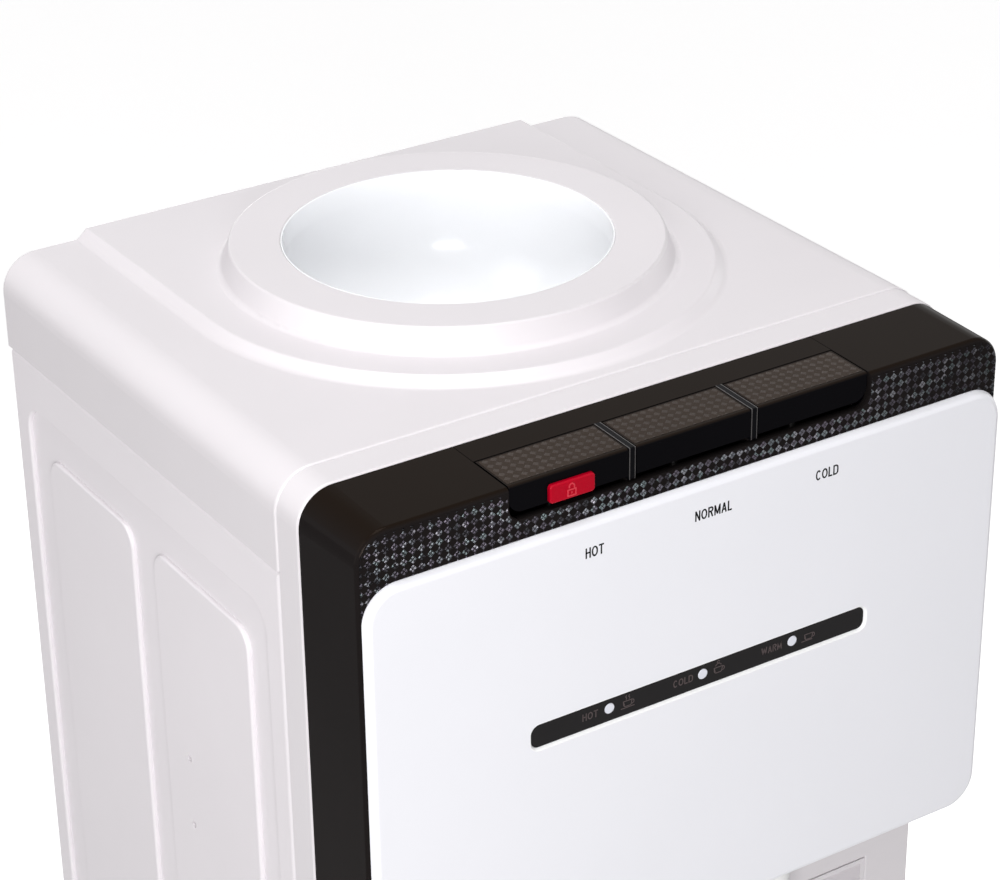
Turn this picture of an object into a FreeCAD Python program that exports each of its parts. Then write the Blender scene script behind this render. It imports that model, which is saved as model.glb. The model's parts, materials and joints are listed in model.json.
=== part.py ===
import FreeCAD, Part
import math
import os

# Overall sizes, in millimetres. The origin is at floor level, midway across and front to back.
width = 310.0
depth = 330.0
top_height = 965.0
overrun = 5.0
face_gap = 0.3
pin_gap = 0.05
sheet_gap = 0.4

# Depth of each layer from the front panel to the rear of the cover
panel_proud = 3.2
surround_depth = 39.1
frame_depth = 15.5
condenser_space = 29.6

# Top cover, platform and ring
cover_wall = 2.5
cover_skirt = 41.5
cover_edge_radius = 16.5
cover_front_radius = 1.2
cover_rear_radius = 2.0
platform_radius = 117.9
platform_height = 4.2
platform_slope = 4.3
ring_from_rear = 118.1
ring_height = 15.1
ring_base_radius = 98.4
ring_top_radius = 92.9
ring_mouth_radius = 71.1
ring_edge_radius = 1.3
ring_foot_radius = 3.0
mouth_edge_radius = 0.4
platform_foot_radius = 4.0
platform_crest_radius = 1.6

# Bottle seat bowl
bowl_wall = 2.4
bowl_rim_drop = 0.1
bowl_lip_radius = 2.0
bowl_rim_height = 9.0
bowl_flange_reach = 15.0
bowl_depth = 72.0
bowl_neck_radius = 24.0
bowl_neck_length = 48.0

# White front frame
frame_inset = 0.6
frame_radius = 15.9
frame_wall = 2.6
frame_edge_radius = 1.0
frame_strip = 26.0
alcove_floor_drop = 477.0
alcove_top_drop = 275.0
head_opening_low_drop = 213.0
head_opening_top_drop = 33.0
head_opening_strip = 16.0
cabinet_opening_rise = 20.0
cabinet_opening_drop = 38.0

# Black head surround
surround_taper = 3.0
surround_front_drop = 2.1
surround_front_radius = 13.5
surround_inset = 0.7
surround_low_radius = 13.0
surround_wall = 3.0
surround_edge_radius = 2.0
surround_front_low = 227.0
surround_rear_low = 262.0
window_margin = 2.2

# White front panel
front_panel_overlap = 0.2
front_panel_drop = 25.0
front_panel_height = 204.0
front_panel_radius = 15.0
front_panel_edge = 2.6

# Indicator strip
lens_width = 164.8
lens_height = 11.6
lens_radius = 4.4
lens_centre_x = 1.7
lens_drop = 111.1
lens_sunk = 0.6
light_radius = 2.25
light_pitch = 45.1
light_first_x = -42.8
board_height = 17.0
board_thickness = 1.6
board_stand = 1.2

# Push buttons and their block
button_count = 3
block_centre_x = -0.8
button_width = 53.8
button_rib = 4.0
button_front_set = 1.3
button_depth = 22.9
button_drop = 1.2
button_height = 12.6
button_wall = 2.2
button_edge_radius = 1.2
button_corner_radius = 6.0
notch_drop = 16.4
notch_side = 0.8
notch_radius = 5.5
strip_thickness = 2.0
strip_gap = 0.8
hinge_setback = 6.0
hinge_drop = 13.0
hinge_pin_radius = 1.5
hinge_eye_radius = 4.2
arm_width = 4.0
arm_inset = 4.0
arm_height = 6.0
boss_radius = 3.5
boss_setback = 13.5
boss_height = 10.0
carrier_floor_drop = 22.5
carrier_wall = 2.2

# Child lock tab
tab_width = 20.5
tab_height = 7.8
tab_centre_x = -58.2
tab_drop = 6.2
tab_thickness = 1.7
tab_stem_width = 10.0
tab_stem_height = 3.4
tab_travel = 3.0
tab_keeper_overlap = 2.0
tab_keeper_thickness = 1.4
tab_edge_radius = 0.6

# Push rods, springs and taps
rod_radius = 2.5
rod_low_drop = 189.0
rod_collar_radius = 5.2
rod_collar_height = 2.4
spring_height = 20.0
spring_wall = 1.4
guide_plate_drop = 85.0
tap_plate_drop = 177.0
plate_thickness = 2.0
tap_body_radius = 10.0
tap_body_height = 44.0
tap_neck_radius = 7.0
tap_neck_height = 12.0
spout_radius = 6.5
spout_bore = 4.5
spout_length = 56.0
tap_bore_depth = 14.0
barb_radius = 3.6
barb_length = 8.0
tap_inlet_rise = 20.0
hose_radius = 5.0
hose_bore = 3.6
hose_bend = 30.0
cold_outlet_drop = 48.0

# Side panels and their relief
side_inset = 0.6
side_thickness = 4.4
side_rear_inset = 3.0
relief_depth = 2.0
relief_edge_radius = 1.2
side_edge_radius = 3.0
field_front_inset = 29.9
field_rear_inset = 11.4
field_top_drop = 65.0
field_radius = 12.0
inner_top_drop = 83.0
inner_gap = 19.0
inner_front_inset = 16.0
inner_rear_inset = 18.0
inner_radius = 10.0
field_low_rise = 36.0
inner_low_rise = 18.0
inner_front_share = 0.505
side_hole_radius = 1.6
side_hole_setback = 147.5
side_hole_drops = (174.0, 207.5)

# Plinth and feet
foot_height = 12.0
foot_radius = 17.0
foot_inset_x = 30.0
foot_inset_y = 28.0
foot_stem_radius = 5.0
plinth_top = 50.0
plinth_inset = 2.0
plinth_wall = 3.0
plinth_front_set = 10.0
plinth_radius = 8.0

# Alcove liner, ledge, drip tray and grille
liner_wall = 2.4
alcove_depth = 50.0
alcove_radius = 16.0
ledge_height = 20.0
ledge_radius = 10.0
ledge_side_set = 3.0
ledge_front_set = 3.2
ledge_edge_radius = 3.0
tray_side_gap = 11.0
tray_height = 20.0
tray_wall = 2.2
tray_radius = 12.0
tray_front_set = 8.0
grille_thickness = 2.6
grille_lip = 1.6
grille_slot = 4.0
grille_pitch = 8.0
grille_margin = 12.0

# Cabinet door and cabinet
door_gap = 4.0
door_wall = 2.8
door_radius = 12.0
door_face_set = 3.2
door_edge_radius = 6.0
door_back_thickness = 2.0
door_frame_gap = 2.0
hinge_inset = 6.5
hinge_back = 12.5
door_pin_radius = 3.0
door_pin_reach = 14.0
door_boss_radius = 6.5
door_boss_height = 16.0
grip_width = 12.0
grip_height = 90.0
grip_depth = 14.0
cabinet_rear_space = 32.0
cabinet_wall = 2.0
cabinet_radius = 10.0

# Rear panel
rear_thickness = 1.2
rear_side_gap = 0.3
louvre_count = 9
louvre_width = 150.0
louvre_height = 4.0
louvre_pitch = 12.0
louvre_low = 90.0
louvre_centre_x = -40.0
screw_head_radius = 3.6
screw_head_height = 1.8
screw_shank_radius = 1.5
screw_length = 6.0
screw_inset = 9.0
screw_margin = 70.0
screw_rows = 3

# Tanks, insulation and shelves
lower_shelf_drop = 499.0
upper_shelf_drop = 355.0
shelf_front_reach = 75.3
shelf_flange = 12.0
cold_tank_radius = 66.0
cold_tank_height = 230.0
tank_wall = 1.0
coil_thickness = 5.0
coil_height = 110.0
coil_rise = 45.0
insulation_wall = 15.0
insulation_floor = 20.0
insulation_lid_height = 18.0
gasket_height = 4.0
gasket_wall = 6.0
gasket_gap = 0.2
hot_tank_radius = 45.0
hot_tank_height = 116.0
hot_hose_run = 87.0
hot_tank_setback = 22.7
heater_height = 40.0
heater_rise = 34.0
heater_thickness = 2.5
hot_insulation_wall = 9.0
hot_insulation_lid = 8.0
drain_radius = 5.0
drain_bore = 3.6
drain_rise = 24.0
drain_reach = 18.0
cap_radius = 9.0
cap_length = 14.0
hot_hose_inset = 23.0

# Compressor and refrigerant circuit
compressor_inset = 115.0
compressor_rear_space = 61.2
compressor_width = 140.0
compressor_depth = 102.0
compressor_height = 135.0
compressor_radius = 44.0
compressor_dome = 24.0
compressor_mount_height = 12.0
compressor_mount_radius = 9.0
compressor_plate = 3.0
compressor_mount_inset = 12.0
terminal_width = 18.0
terminal_height = 60.0
terminal_depth = 50.0
pipe_radius = 2.5
pipe_bend = 25.0
discharge_inset = 10.0
discharge_rise = 90.0
discharge_forward = 25.0
suction_inset = 25.0
suction_back = 30.0
liquid_inset = 14.0
liquid_rear_space = 36.2
capillary_forward = 17.3
capillary_low = 150.0
drier_radius = 10.0
drier_low = 200.0
drier_high = 300.0
evaporator_inlet_rise = 36.0
evaporator_outlet_rise = 120.0

# Condenser on the rear
condenser_low_drop = 388.0
condenser_pitch = 36.0
condenser_runs = 9
condenser_left_run = 36.0
condenser_right_run = 82.0
condenser_wire_radius = 0.8
condenser_wire_pitch = 9.0
condenser_wire_gap = 0.1
condenser_rail_radius = 1.2
condenser_margin = 10.0
bracket_width = 10.0
bracket_height = 8.0

# Rear switches and cord gland
bezel_inset = 46.0
bezel_drop = 265.0
bezel_width = 26.0
bezel_height = 58.0
bezel_proud = 2.4
bezel_sunk = 12.0
rocker_width = 13.0
rocker_height = 21.0
rocker_pitch = 28.0
rocker_gap = 0.5
rocker_tilt_deg = 8.0
rocker_depth = 7.0
rocker_rise = 1.6
rocker_foot_share = 0.6
rocker_dip_share = 0.6
rocker_pivot_radius = 1.2
gland_inset = 50.0
gland_rise = 70.0
gland_flange_radius = 9.0
gland_radius = 6.5
gland_bore = 3.8
gland_proud = 2.0
gland_sunk = 6.0

# Levels worked out from the driving sizes
half_width = width / 2
frame_x = half_width - frame_inset
frame_top = top_height - frame_inset
surround_rear_top = frame_top - surround_inset
front_y = -depth / 2
surround_y = front_y + panel_proud
frame_y = surround_y + surround_depth
parting_y = frame_y + frame_depth
rear_y = depth / 2 - condenser_space
ring_y = rear_y - ring_from_rear
ring_top = top_height + ring_height
skirt_level = top_height - cover_skirt
side_x = half_width - side_inset
side_inner_x = side_x - side_thickness
side_rear_y = rear_y - side_rear_inset
rear_panel_y = side_rear_y - rear_thickness
alcove_x = half_width - frame_strip
alcove_floor = top_height - alcove_floor_drop
alcove_top = top_height - alcove_top_drop
head_opening_low = top_height - head_opening_low_drop
head_opening_top = top_height - head_opening_top_drop
cabinet_opening_low = plinth_top + cabinet_opening_rise
cabinet_opening_top = alcove_floor - cabinet_opening_drop
surround_front_width = width - 2 * surround_taper
front_panel_width = surround_front_width + 2 * front_panel_overlap
head_x = half_width - head_opening_strip
opening_back_y = frame_y + alcove_depth
button_span = 3 * button_width + 2 * button_rib
block_left = block_centre_x - button_span / 2
block_right = block_left + button_span
button_front_y = surround_y + button_front_set
button_rear_y = button_front_y + button_depth
button_top = top_height - button_drop
button_low = button_top - button_height
notch_floor = top_height - notch_drop
hinge_y = button_rear_y + hinge_setback
hinge_level = button_top - hinge_drop
tap_y = button_front_y + boss_setback
boss_low = button_top - button_wall - boss_height
rod_top = boss_low - face_gap
carrier_floor = top_height - carrier_floor_drop
guide_plate_level = top_height - guide_plate_drop
tap_plate_level = top_height - tap_plate_drop
rod_low = top_height - rod_low_drop
tap_body_low = tap_plate_level - tap_body_height
spout_low = tap_body_low - spout_length
tap_inlet_level = tap_body_low + tap_inlet_rise
cold_outlet_level = tap_inlet_level - cold_outlet_drop
lower_shelf_level = top_height - lower_shelf_drop
upper_shelf_level = top_height - upper_shelf_drop
hot_hose_x = hot_hose_inset - side_inner_x
hot_tank_x = hot_hose_x + hot_hose_run
hot_tank_y = ring_y + hot_tank_setback
cold_tank_low = upper_shelf_level + plate_thickness + insulation_floor
cold_tank_top = cold_tank_low + cold_tank_height
coil_radius = cold_tank_radius + face_gap
insulation_bore = coil_radius + coil_thickness + face_gap
insulation_radius = insulation_bore + insulation_wall
hot_tank_low = lower_shelf_level + plate_thickness
hot_tank_top = hot_tank_low + hot_tank_height
heater_radius = hot_tank_radius + face_gap
hot_insulation_bore = heater_radius + heater_thickness + face_gap
hot_insulation_radius = hot_insulation_bore + hot_insulation_wall
discharge_x = side_inner_x - discharge_inset
suction_x = side_inner_x - suction_inset
liquid_x = liquid_inset - side_inner_x
compressor_x = discharge_x - compressor_inset
compressor_y = rear_panel_y - compressor_rear_space
discharge_y = compressor_y - discharge_forward
suction_y = compressor_y + suction_back
liquid_y = rear_panel_y - liquid_rear_space
capillary_y = ring_y - capillary_forward
evaporator_inlet_level = cold_tank_low + evaporator_inlet_rise
evaporator_outlet_level = cold_tank_low + evaporator_outlet_rise
cabinet_depth = compressor_y - compressor_depth / 2 - cabinet_rear_space - frame_y
bezel_centre_x = side_inner_x - bezel_inset
bezel_level = top_height - bezel_drop
gland_x = side_inner_x - gland_inset
gland_level = plinth_top + gland_rise
ledge_low = alcove_floor - ledge_height
ledge_y = surround_y + ledge_front_set
door_low = plinth_top + door_gap
door_top = ledge_low - door_gap
door_x = half_width - ledge_side_set
door_front_y = surround_y + door_face_set - panel_proud
door_back_y = frame_y - door_frame_gap
hinge_x = door_x - hinge_inset
door_hinge_y = door_back_y - hinge_back
condenser_y = depth / 2 - 2 * condenser_wire_radius - condenser_wire_gap - pipe_radius
condenser_low = top_height - condenser_low_drop
condenser_left = liquid_x + condenser_left_run
condenser_right = discharge_x - condenser_right_run
condenser_top = condenser_low + condenser_pitch * (condenser_runs - 1)
button_edges = [block_left + place * (button_width + button_rib) for place in range(button_count)]
button_centres = [edge + button_width / 2 for edge in button_edges]
water_names = ("hot", "normal", "cold")


def at(x, y, z):
    return FreeCAD.Vector(x, y, z)


def box(x0, x1, y0, y1, z0, z1):
    return Part.makeBox(x1 - x0, y1 - y0, z1 - z0, at(x0, y0, z0))


def prism_x(x0, x1, section):
    """A solid along x with the section's (y, z) corners."""
    corners = [FreeCAD.Vector(x0, y, z) for y, z in section]
    wire = Part.makePolygon(corners + corners[:1])
    return Part.Face(wire).extrude(FreeCAD.Vector(x1 - x0, 0, 0))


def rod_x(y, z, radius, x0, x1):
    return Part.makeCylinder(radius, x1 - x0, at(x0, y, z), at(1, 0, 0))


def rod_y(x, z, radius, y0, y1):
    return Part.makeCylinder(radius, y1 - y0, at(x, y0, z), at(0, 1, 0))


def rod_z(x, y, radius, z0, z1):
    return Part.makeCylinder(radius, z1 - z0, at(x, y, z0), at(0, 0, 1))


def sleeve_z(x, y, outer, inner, z0, z1):
    return rod_z(x, y, outer, z0, z1).cut(rod_z(x, y, inner, z0 - overrun, z1 + overrun))


def outline(x0, x1, z0, z1, low_radius, top_radius, y):
    """A closed wire in the XZ plane at y, with one radius for the low corners and one for the top."""
    corners = (
        (x0, z0, low_radius, 1, 1, math.pi),
        (x1, z0, low_radius, -1, 1, 1.5 * math.pi),
        (x1, z1, top_radius, -1, -1, 0),
        (x0, z1, top_radius, 1, -1, 0.5 * math.pi),
    )
    edges = []
    ends = []
    for x, z, radius, way_x, way_z, start in corners:
        centre = at(x + way_x * radius, y, z + way_z * radius)
        points = []
        for turn in (0, math.pi / 4, math.pi / 2):
            angle = start + turn
            points.append(centre + at(math.cos(angle), 0, math.sin(angle)) * radius)
        edges.append(Part.Arc(*points).toShape())
        ends.append((points[0], points[2]))
    loop = []
    for place, edge in enumerate(edges):
        loop.append(edge)
        following = ends[(place + 1) % len(ends)]
        loop.append(Part.LineSegment(ends[place][1], following[0]).toShape())
    return Part.Wire(loop)


def slab_y(x0, x1, z0, z1, y0, y1, low_radius, top_radius):
    face = Part.Face(outline(x0, x1, z0, z1, low_radius, top_radius, y0))
    return face.extrude(at(0, y1 - y0, 0))


def turned(shape, angle, axis):
    """A copy of the shape, turned about the origin."""
    return shape.rotated(at(0, 0, 0), axis, angle)


def slab_z(x0, x1, y0, y1, z0, z1, radius):
    """A plate with rounded corners in plan."""
    upright = slab_y(x0, x1, -y1, -y0, z0, z1, radius, radius)
    return turned(upright, 90, at(1, 0, 0))


def slab_x(y0, y1, z0, z1, x0, x1, radius):
    """A plate with rounded corners seen from the side."""
    facing = slab_y(y0, y1, z0, z1, -x1, -x0, radius, radius)
    return turned(facing, 90, at(0, 0, 1))


def rounded(shape, radius, chosen):
    """Fillet the edges that the test picks."""
    edges = [edge for edge in shape.Edges if chosen(edge.BoundBox)]
    return shape.makeFillet(radius, edges)


def near(a, b):
    return abs(a - b) < pin_gap / 10


def flat_at_y(y):
    return lambda bounds: near(bounds.YMin, y) and near(bounds.YMax, y)


def flat_at_z(z):
    return lambda bounds: near(bounds.ZMin, z) and near(bounds.ZMax, z)


def route(points, bend):
    """Straight runs joined by tangent arcs of one radius."""
    edges = []
    start = points[0]
    for before, corner, after in zip(points, points[1:], points[2:]):
        back = (before - corner).normalize()
        ahead = (after - corner).normalize()
        half = back.getAngle(ahead) / 2
        entry = corner + back * (bend / math.tan(half))
        leave = corner + ahead * (bend / math.tan(half))
        inward = (back + ahead).normalize()
        centre = corner + inward * (bend / math.sin(half))
        middle = centre - inward * bend
        if (entry - start).Length > pin_gap:
            edges.append(Part.LineSegment(start, entry).toShape())
        edges.append(Part.Arc(entry, middle, leave).toShape())
        start = leave
    edges.append(Part.LineSegment(start, points[-1]).toShape())
    return Part.Wire(edges)


def tube(points, bend, radius):
    """A round bar along the route."""
    heading = (points[1] - points[0]).normalize()
    ring = Part.Wire(Part.makeCircle(radius, points[0], heading))
    return route(points, bend).makePipeShell([ring], True, False)


def hose(points, bend, radius, bore):
    return tube(points, bend, radius).cut(tube(points, bend, bore))


def save(node, *solids):
    shape = solids[0] if len(solids) == 1 else Part.makeCompound(list(solids))
    shape.exportStep("parts/" + node + ".step")


# Top cover

def make_top_cover():
    left = -half_width
    right = half_width
    platform_top = top_height + platform_height
    shell = slab_y(left, right, skirt_level, top_height, parting_y, rear_y, pin_gap, cover_edge_radius)
    section = platform_section(top_height, platform_top)
    front = section.revolve(at(0, ring_y, 0), at(0, 0, -1), 180)
    shell = shell.fuse([front, section.extrude(at(0, rear_y - ring_y, 0)),
                        section.mirror(at(0, 0, 0), at(1, 0, 0)).extrude(at(0, rear_y - ring_y, 0))])
    ring_foot = at(0, ring_y, top_height)
    shell = shell.fuse(Part.makeCone(ring_base_radius, ring_top_radius, ring_height, ring_foot))
    shell = shell.removeSplitter()
    shell = rounded(shell, ring_edge_radius, flat_at_z(ring_top))
    shell = rounded(shell, ring_foot_radius, lambda bounds: flat_at_z(platform_top)(bounds)
                    and bounds.XMax < ring_base_radius)
    shell = rounded(shell, cover_rear_radius, lambda bounds: flat_at_y(rear_y)(bounds)
                    and bounds.ZMax > top_height - cover_edge_radius)
    shell = rounded(shell, cover_front_radius, lambda bounds: flat_at_y(parting_y)(bounds)
                    and bounds.ZMax > skirt_level + pin_gap)
    hollow = slab_y(left + cover_wall, right - cover_wall, skirt_level - overrun, top_height - cover_wall,
                    parting_y - overrun, rear_y - cover_wall, pin_gap, cover_edge_radius - cover_wall)
    shell = shell.cut(hollow)
    hollow_base = ring_base_radius - cover_wall
    hollow_top = ring_top_radius - cover_wall
    under_top = at(0, ring_y, top_height - cover_wall)
    shell = shell.cut(Part.makeCone(hollow_base, hollow_top, ring_height, under_top))
    mouth = rod_z(0, ring_y, ring_mouth_radius, top_height - overrun, ring_top + overrun)
    shell = shell.cut(mouth).removeSplitter()
    shell = rounded(shell, mouth_edge_radius, lambda bounds: flat_at_z(ring_top)(bounds)
                    and near(bounds.XMax, ring_mouth_radius))
    save("top_cover", shell)


def platform_section(low, high):
    """Half the platform's outline across the cover, with a soft step down to the flat top."""
    foot = at(platform_radius, ring_y, low)
    crest = at(platform_radius - platform_slope, ring_y, high)
    climb = (crest - foot).normalize()
    turn = math.tan(climb.getAngle(at(-1, 0, 0)) / 2)
    foot_ease = platform_foot_radius * turn
    crest_ease = platform_crest_radius * turn
    foot_start = foot + at(foot_ease, 0, 0)
    foot_end = foot + climb * foot_ease
    crest_start = crest - climb * crest_ease
    crest_end = crest - at(crest_ease, 0, 0)
    foot_centre = foot_start + at(0, 0, platform_foot_radius)
    crest_centre = crest_end - at(0, 0, platform_crest_radius)
    foot_way = (foot_start + foot_end - foot_centre * 2).normalize()
    crest_way = (crest_start + crest_end - crest_centre * 2).normalize()
    foot_middle = foot_centre + foot_way * platform_foot_radius
    crest_middle = crest_centre + crest_way * platform_crest_radius
    axis_low = at(0, ring_y, low)
    axis_high = at(0, ring_y, high)
    return Part.Face(Part.Wire([
        Part.LineSegment(axis_low, foot_start).toShape(),
        Part.Arc(foot_start, foot_middle, foot_end).toShape(),
        Part.LineSegment(foot_end, crest_start).toShape(),
        Part.Arc(crest_start, crest_middle, crest_end).toShape(),
        Part.LineSegment(crest_end, axis_high).toShape(),
        Part.LineSegment(axis_high, axis_low).toShape(),
    ]))


def make_bottle_bowl():
    """A turned bowl with a rim, a flange under the ring and a neck into the cold tank."""
    rim_radius = ring_mouth_radius - face_gap
    rim_top = ring_top - bowl_rim_drop
    flange_top = ring_top - cover_wall
    flange_low = flange_top - bowl_wall
    side_low = rim_top - bowl_rim_height
    bowl_low = rim_top - bowl_depth
    neck_low = bowl_low - bowl_neck_length
    inner_rim = rim_radius - bowl_wall
    inner_neck = bowl_neck_radius - bowl_wall
    lip = bowl_lip_radius
    lip_centre = at(inner_rim + lip, 0, rim_top - lip)
    lip_arc = Part.Arc(lip_centre + at(0, 0, lip), lip_centre + at(-1, 0, 1).normalize() * lip,
                       lip_centre - at(lip, 0, 0))
    sag = (inner_rim - inner_neck) / 4
    mid_radius = (inner_rim + inner_neck) / 2
    mid_level = (side_low + bowl_low) / 2
    inside = Part.Arc(at(inner_rim, 0, side_low), at(mid_radius + sag, 0, mid_level - sag),
                      at(inner_neck, 0, bowl_low))
    outside = Part.Arc(at(rim_radius, 0, side_low - bowl_wall),
                       at(mid_radius + sag + bowl_wall, 0, mid_level - sag - bowl_wall),
                       at(bowl_neck_radius, 0, bowl_low - bowl_wall))
    flange_radius = ring_mouth_radius + bowl_flange_reach
    line = Part.LineSegment
    edges = [
        line(at(inner_rim, 0, rim_top - lip), at(inner_rim, 0, side_low)).toShape(),
        inside.toShape(),
        line(at(inner_neck, 0, bowl_low), at(inner_neck, 0, neck_low)).toShape(),
        line(at(inner_neck, 0, neck_low), at(bowl_neck_radius, 0, neck_low)).toShape(),
        line(at(bowl_neck_radius, 0, neck_low), at(bowl_neck_radius, 0, bowl_low - bowl_wall)).toShape(),
        outside.toShape(),
        line(at(rim_radius, 0, side_low - bowl_wall), at(rim_radius, 0, flange_low)).toShape(),
        line(at(rim_radius, 0, flange_low), at(flange_radius, 0, flange_low)).toShape(),
        line(at(flange_radius, 0, flange_low), at(flange_radius, 0, flange_top)).toShape(),
        line(at(flange_radius, 0, flange_top), at(rim_radius, 0, flange_top)).toShape(),
        line(at(rim_radius, 0, flange_top), at(rim_radius, 0, rim_top)).toShape(),
        line(at(rim_radius, 0, rim_top), at(inner_rim + lip, 0, rim_top)).toShape(),
        lip_arc.toShape(),
    ]
    section = Part.Face(Part.Wire(edges))
    bowl = section.revolve(at(0, 0, 0), at(0, 0, 1), 360)
    bowl.translate(at(0, ring_y, 0))
    save("bottle_bowl", bowl)


# White front frame

def make_front_frame():
    frame = slab_y(-frame_x, frame_x, plinth_top, frame_top, frame_y, parting_y, pin_gap, frame_radius)
    inner_x = frame_x - frame_wall
    inner = slab_y(-inner_x, inner_x, plinth_top + frame_wall, frame_top - frame_wall,
                   frame_y + frame_wall, parting_y + overrun, pin_gap, frame_radius - frame_wall)
    frame = frame.cut(inner)
    openings = (
        (alcove_x, alcove_floor, alcove_top),
        (head_x, head_opening_low, head_opening_top),
        (alcove_x, cabinet_opening_low, cabinet_opening_top),
    )
    for reach, low, high in openings:
        frame = frame.cut(box(-reach, reach, frame_y - overrun, parting_y, low, high))
    frame = rounded(frame, frame_edge_radius, flat_at_y(frame_y))
    save("front_frame", frame)


# Black head surround with the notch for the buttons

def make_head_surround():
    front_x = surround_front_width / 2
    rear_x = frame_x - surround_inset
    rear_radius = frame_radius - surround_inset
    front_top = top_height - surround_front_drop
    front_low = top_height - surround_front_low
    rear_low = top_height - surround_rear_low
    rear_wire = outline(-rear_x, rear_x, rear_low, surround_rear_top, surround_low_radius,
                        rear_radius, frame_y)
    front_wire = outline(-front_x, front_x, front_low, front_top, surround_low_radius,
                         surround_front_radius, surround_y)
    shell = Part.makeLoft([front_wire, rear_wire], True, True)
    shell = rounded(shell, surround_edge_radius, flat_at_y(surround_y))
    wall = surround_wall
    thin_radius = surround_low_radius - wall
    inner_rear = outline(-rear_x + wall, rear_x - wall, rear_low + wall, surround_rear_top - wall,
                         thin_radius, rear_radius - wall, frame_y)
    inner_front = outline(-front_x + wall, front_x - wall, front_low + wall, front_top - wall,
                          thin_radius, surround_front_radius - wall, surround_y + wall)
    shell = shell.cut(Part.makeLoft([inner_front, inner_rear], True, True))
    notch_left = block_left - notch_side
    notch_right = block_right + notch_side
    notch = slab_y(notch_left, notch_right, notch_floor, top_height + overrun + notch_radius,
                   surround_y - overrun, frame_y + overrun, notch_radius, pin_gap)
    shell = shell.cut(notch)
    window_x = lens_width / 2 + window_margin
    window_low = top_height - lens_drop - lens_height / 2 - window_margin
    window_high = window_low + lens_height + 2 * window_margin
    shell = shell.cut(box(lens_centre_x - window_x, lens_centre_x + window_x, surround_y - overrun,
                          surround_y + wall + overrun, window_low, window_high))
    for x in button_centres:
        shell = shell.cut(rod_z(x, tap_y, spout_radius + face_gap, rear_low - overrun, tap_body_low))
    save("head_surround", shell)


def make_front_panel():
    x = front_panel_width / 2
    high = top_height - front_panel_drop
    low = high - front_panel_height
    panel = slab_y(-x, x, low, high, front_y, surround_y, front_panel_radius, front_panel_radius)
    panel = rounded(panel, front_panel_edge, flat_at_y(front_y))
    panel = panel.cut(lens_solid(front_y - overrun, surround_y + overrun, face_gap / 2))
    save("front_panel", panel)


def lens_solid(y0, y1, spare):
    half = lens_width / 2 + spare
    middle = top_height - lens_drop
    reach = lens_height / 2 + spare
    radius = lens_radius + spare
    return slab_y(lens_centre_x - half, lens_centre_x + half, middle - reach, middle + reach, y0, y1,
                  radius, radius)


def make_indicator():
    lens_front = front_y + lens_sunk
    middle = top_height - lens_drop
    lens = lens_solid(lens_front, surround_y, 0)
    places = [light_first_x + place * light_pitch for place in range(button_count)]
    board_y = surround_y + surround_wall + board_stand
    lights = []
    for x in places:
        lens = lens.cut(rod_y(x, middle, light_radius + pin_gap, lens_front - overrun, surround_y + overrun))
        lights.append(rod_y(x, middle, light_radius, lens_front, board_y))
    half = lens_width / 2 + window_margin
    reach = board_height / 2
    board = box(lens_centre_x - half, lens_centre_x + half, board_y, board_y + board_thickness,
                middle - reach, middle + reach)
    for x in (lens_centre_x - half + board_stand, lens_centre_x + half - board_stand):
        for z in (middle - reach + board_stand, middle + reach - board_stand):
            board = board.fuse(rod_y(x, z, board_stand, surround_y + surround_wall, board_y))
    save("indicator_lens", lens)
    save("indicator_lights", *lights)
    save("indicator_board", board)


# Button block

def flush_level(y):
    """Height of the head surround's sloping top at y."""
    front_top = top_height - surround_front_drop
    slope = (surround_rear_top - front_top) / surround_depth
    return front_top + (y - surround_y) * slope


def sloped_x(x0, x1, y0, y1, low, set_down):
    """A block under the surround's slope, its top set down from it."""
    return prism_x(x0, x1, ((y0, low), (y1, low), (y1, flush_level(y1) - set_down),
                            (y0, flush_level(y0) - set_down)))


def make_button_block():
    left = block_left - notch_side + face_gap
    right = block_right + notch_side - face_gap
    strip_y = button_rear_y + strip_gap
    strip = sloped_x(left, right, strip_y, frame_y - pin_gap, button_top - strip_thickness, 0)
    save("button_rear_strip", strip)
    rear = frame_y - pin_gap
    inside_front = surround_y + surround_wall + face_gap
    floor = box(left, right, inside_front, rear, carrier_floor, carrier_floor + carrier_wall)
    carrier = floor
    rib_top = button_top - strip_thickness
    for edge in button_edges[1:]:
        rib_left = edge - button_rib + sheet_gap
        rib_right = edge - sheet_gap
        rib = sloped_x(rib_left, rib_right, inside_front, strip_y, carrier_floor, 0)
        carrier = carrier.fuse(rib)
        carrier = carrier.fuse(box(rib_left, rib_right, strip_y, rear, carrier_floor, rib_top))
    for cheek_left, cheek_right in ((left, block_left - face_gap), (block_right + face_gap, right)):
        cheek = box(cheek_left, cheek_right, button_rear_y, rear, carrier_floor, rib_top)
        carrier = carrier.fuse(cheek)
    pin_hole = hinge_pin_radius + pin_gap
    carrier = carrier.cut(rod_x(hinge_y, hinge_level, pin_hole, left - overrun, right + overrun))
    for x in button_centres:
        carrier = carrier.cut(rod_z(x, tap_y, rod_radius + 2 * face_gap, carrier_floor - overrun, button_top))
    save("button_carrier", carrier.removeSplitter())
    save("button_pin", rod_x(hinge_y, hinge_level, hinge_pin_radius, left, right))


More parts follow.
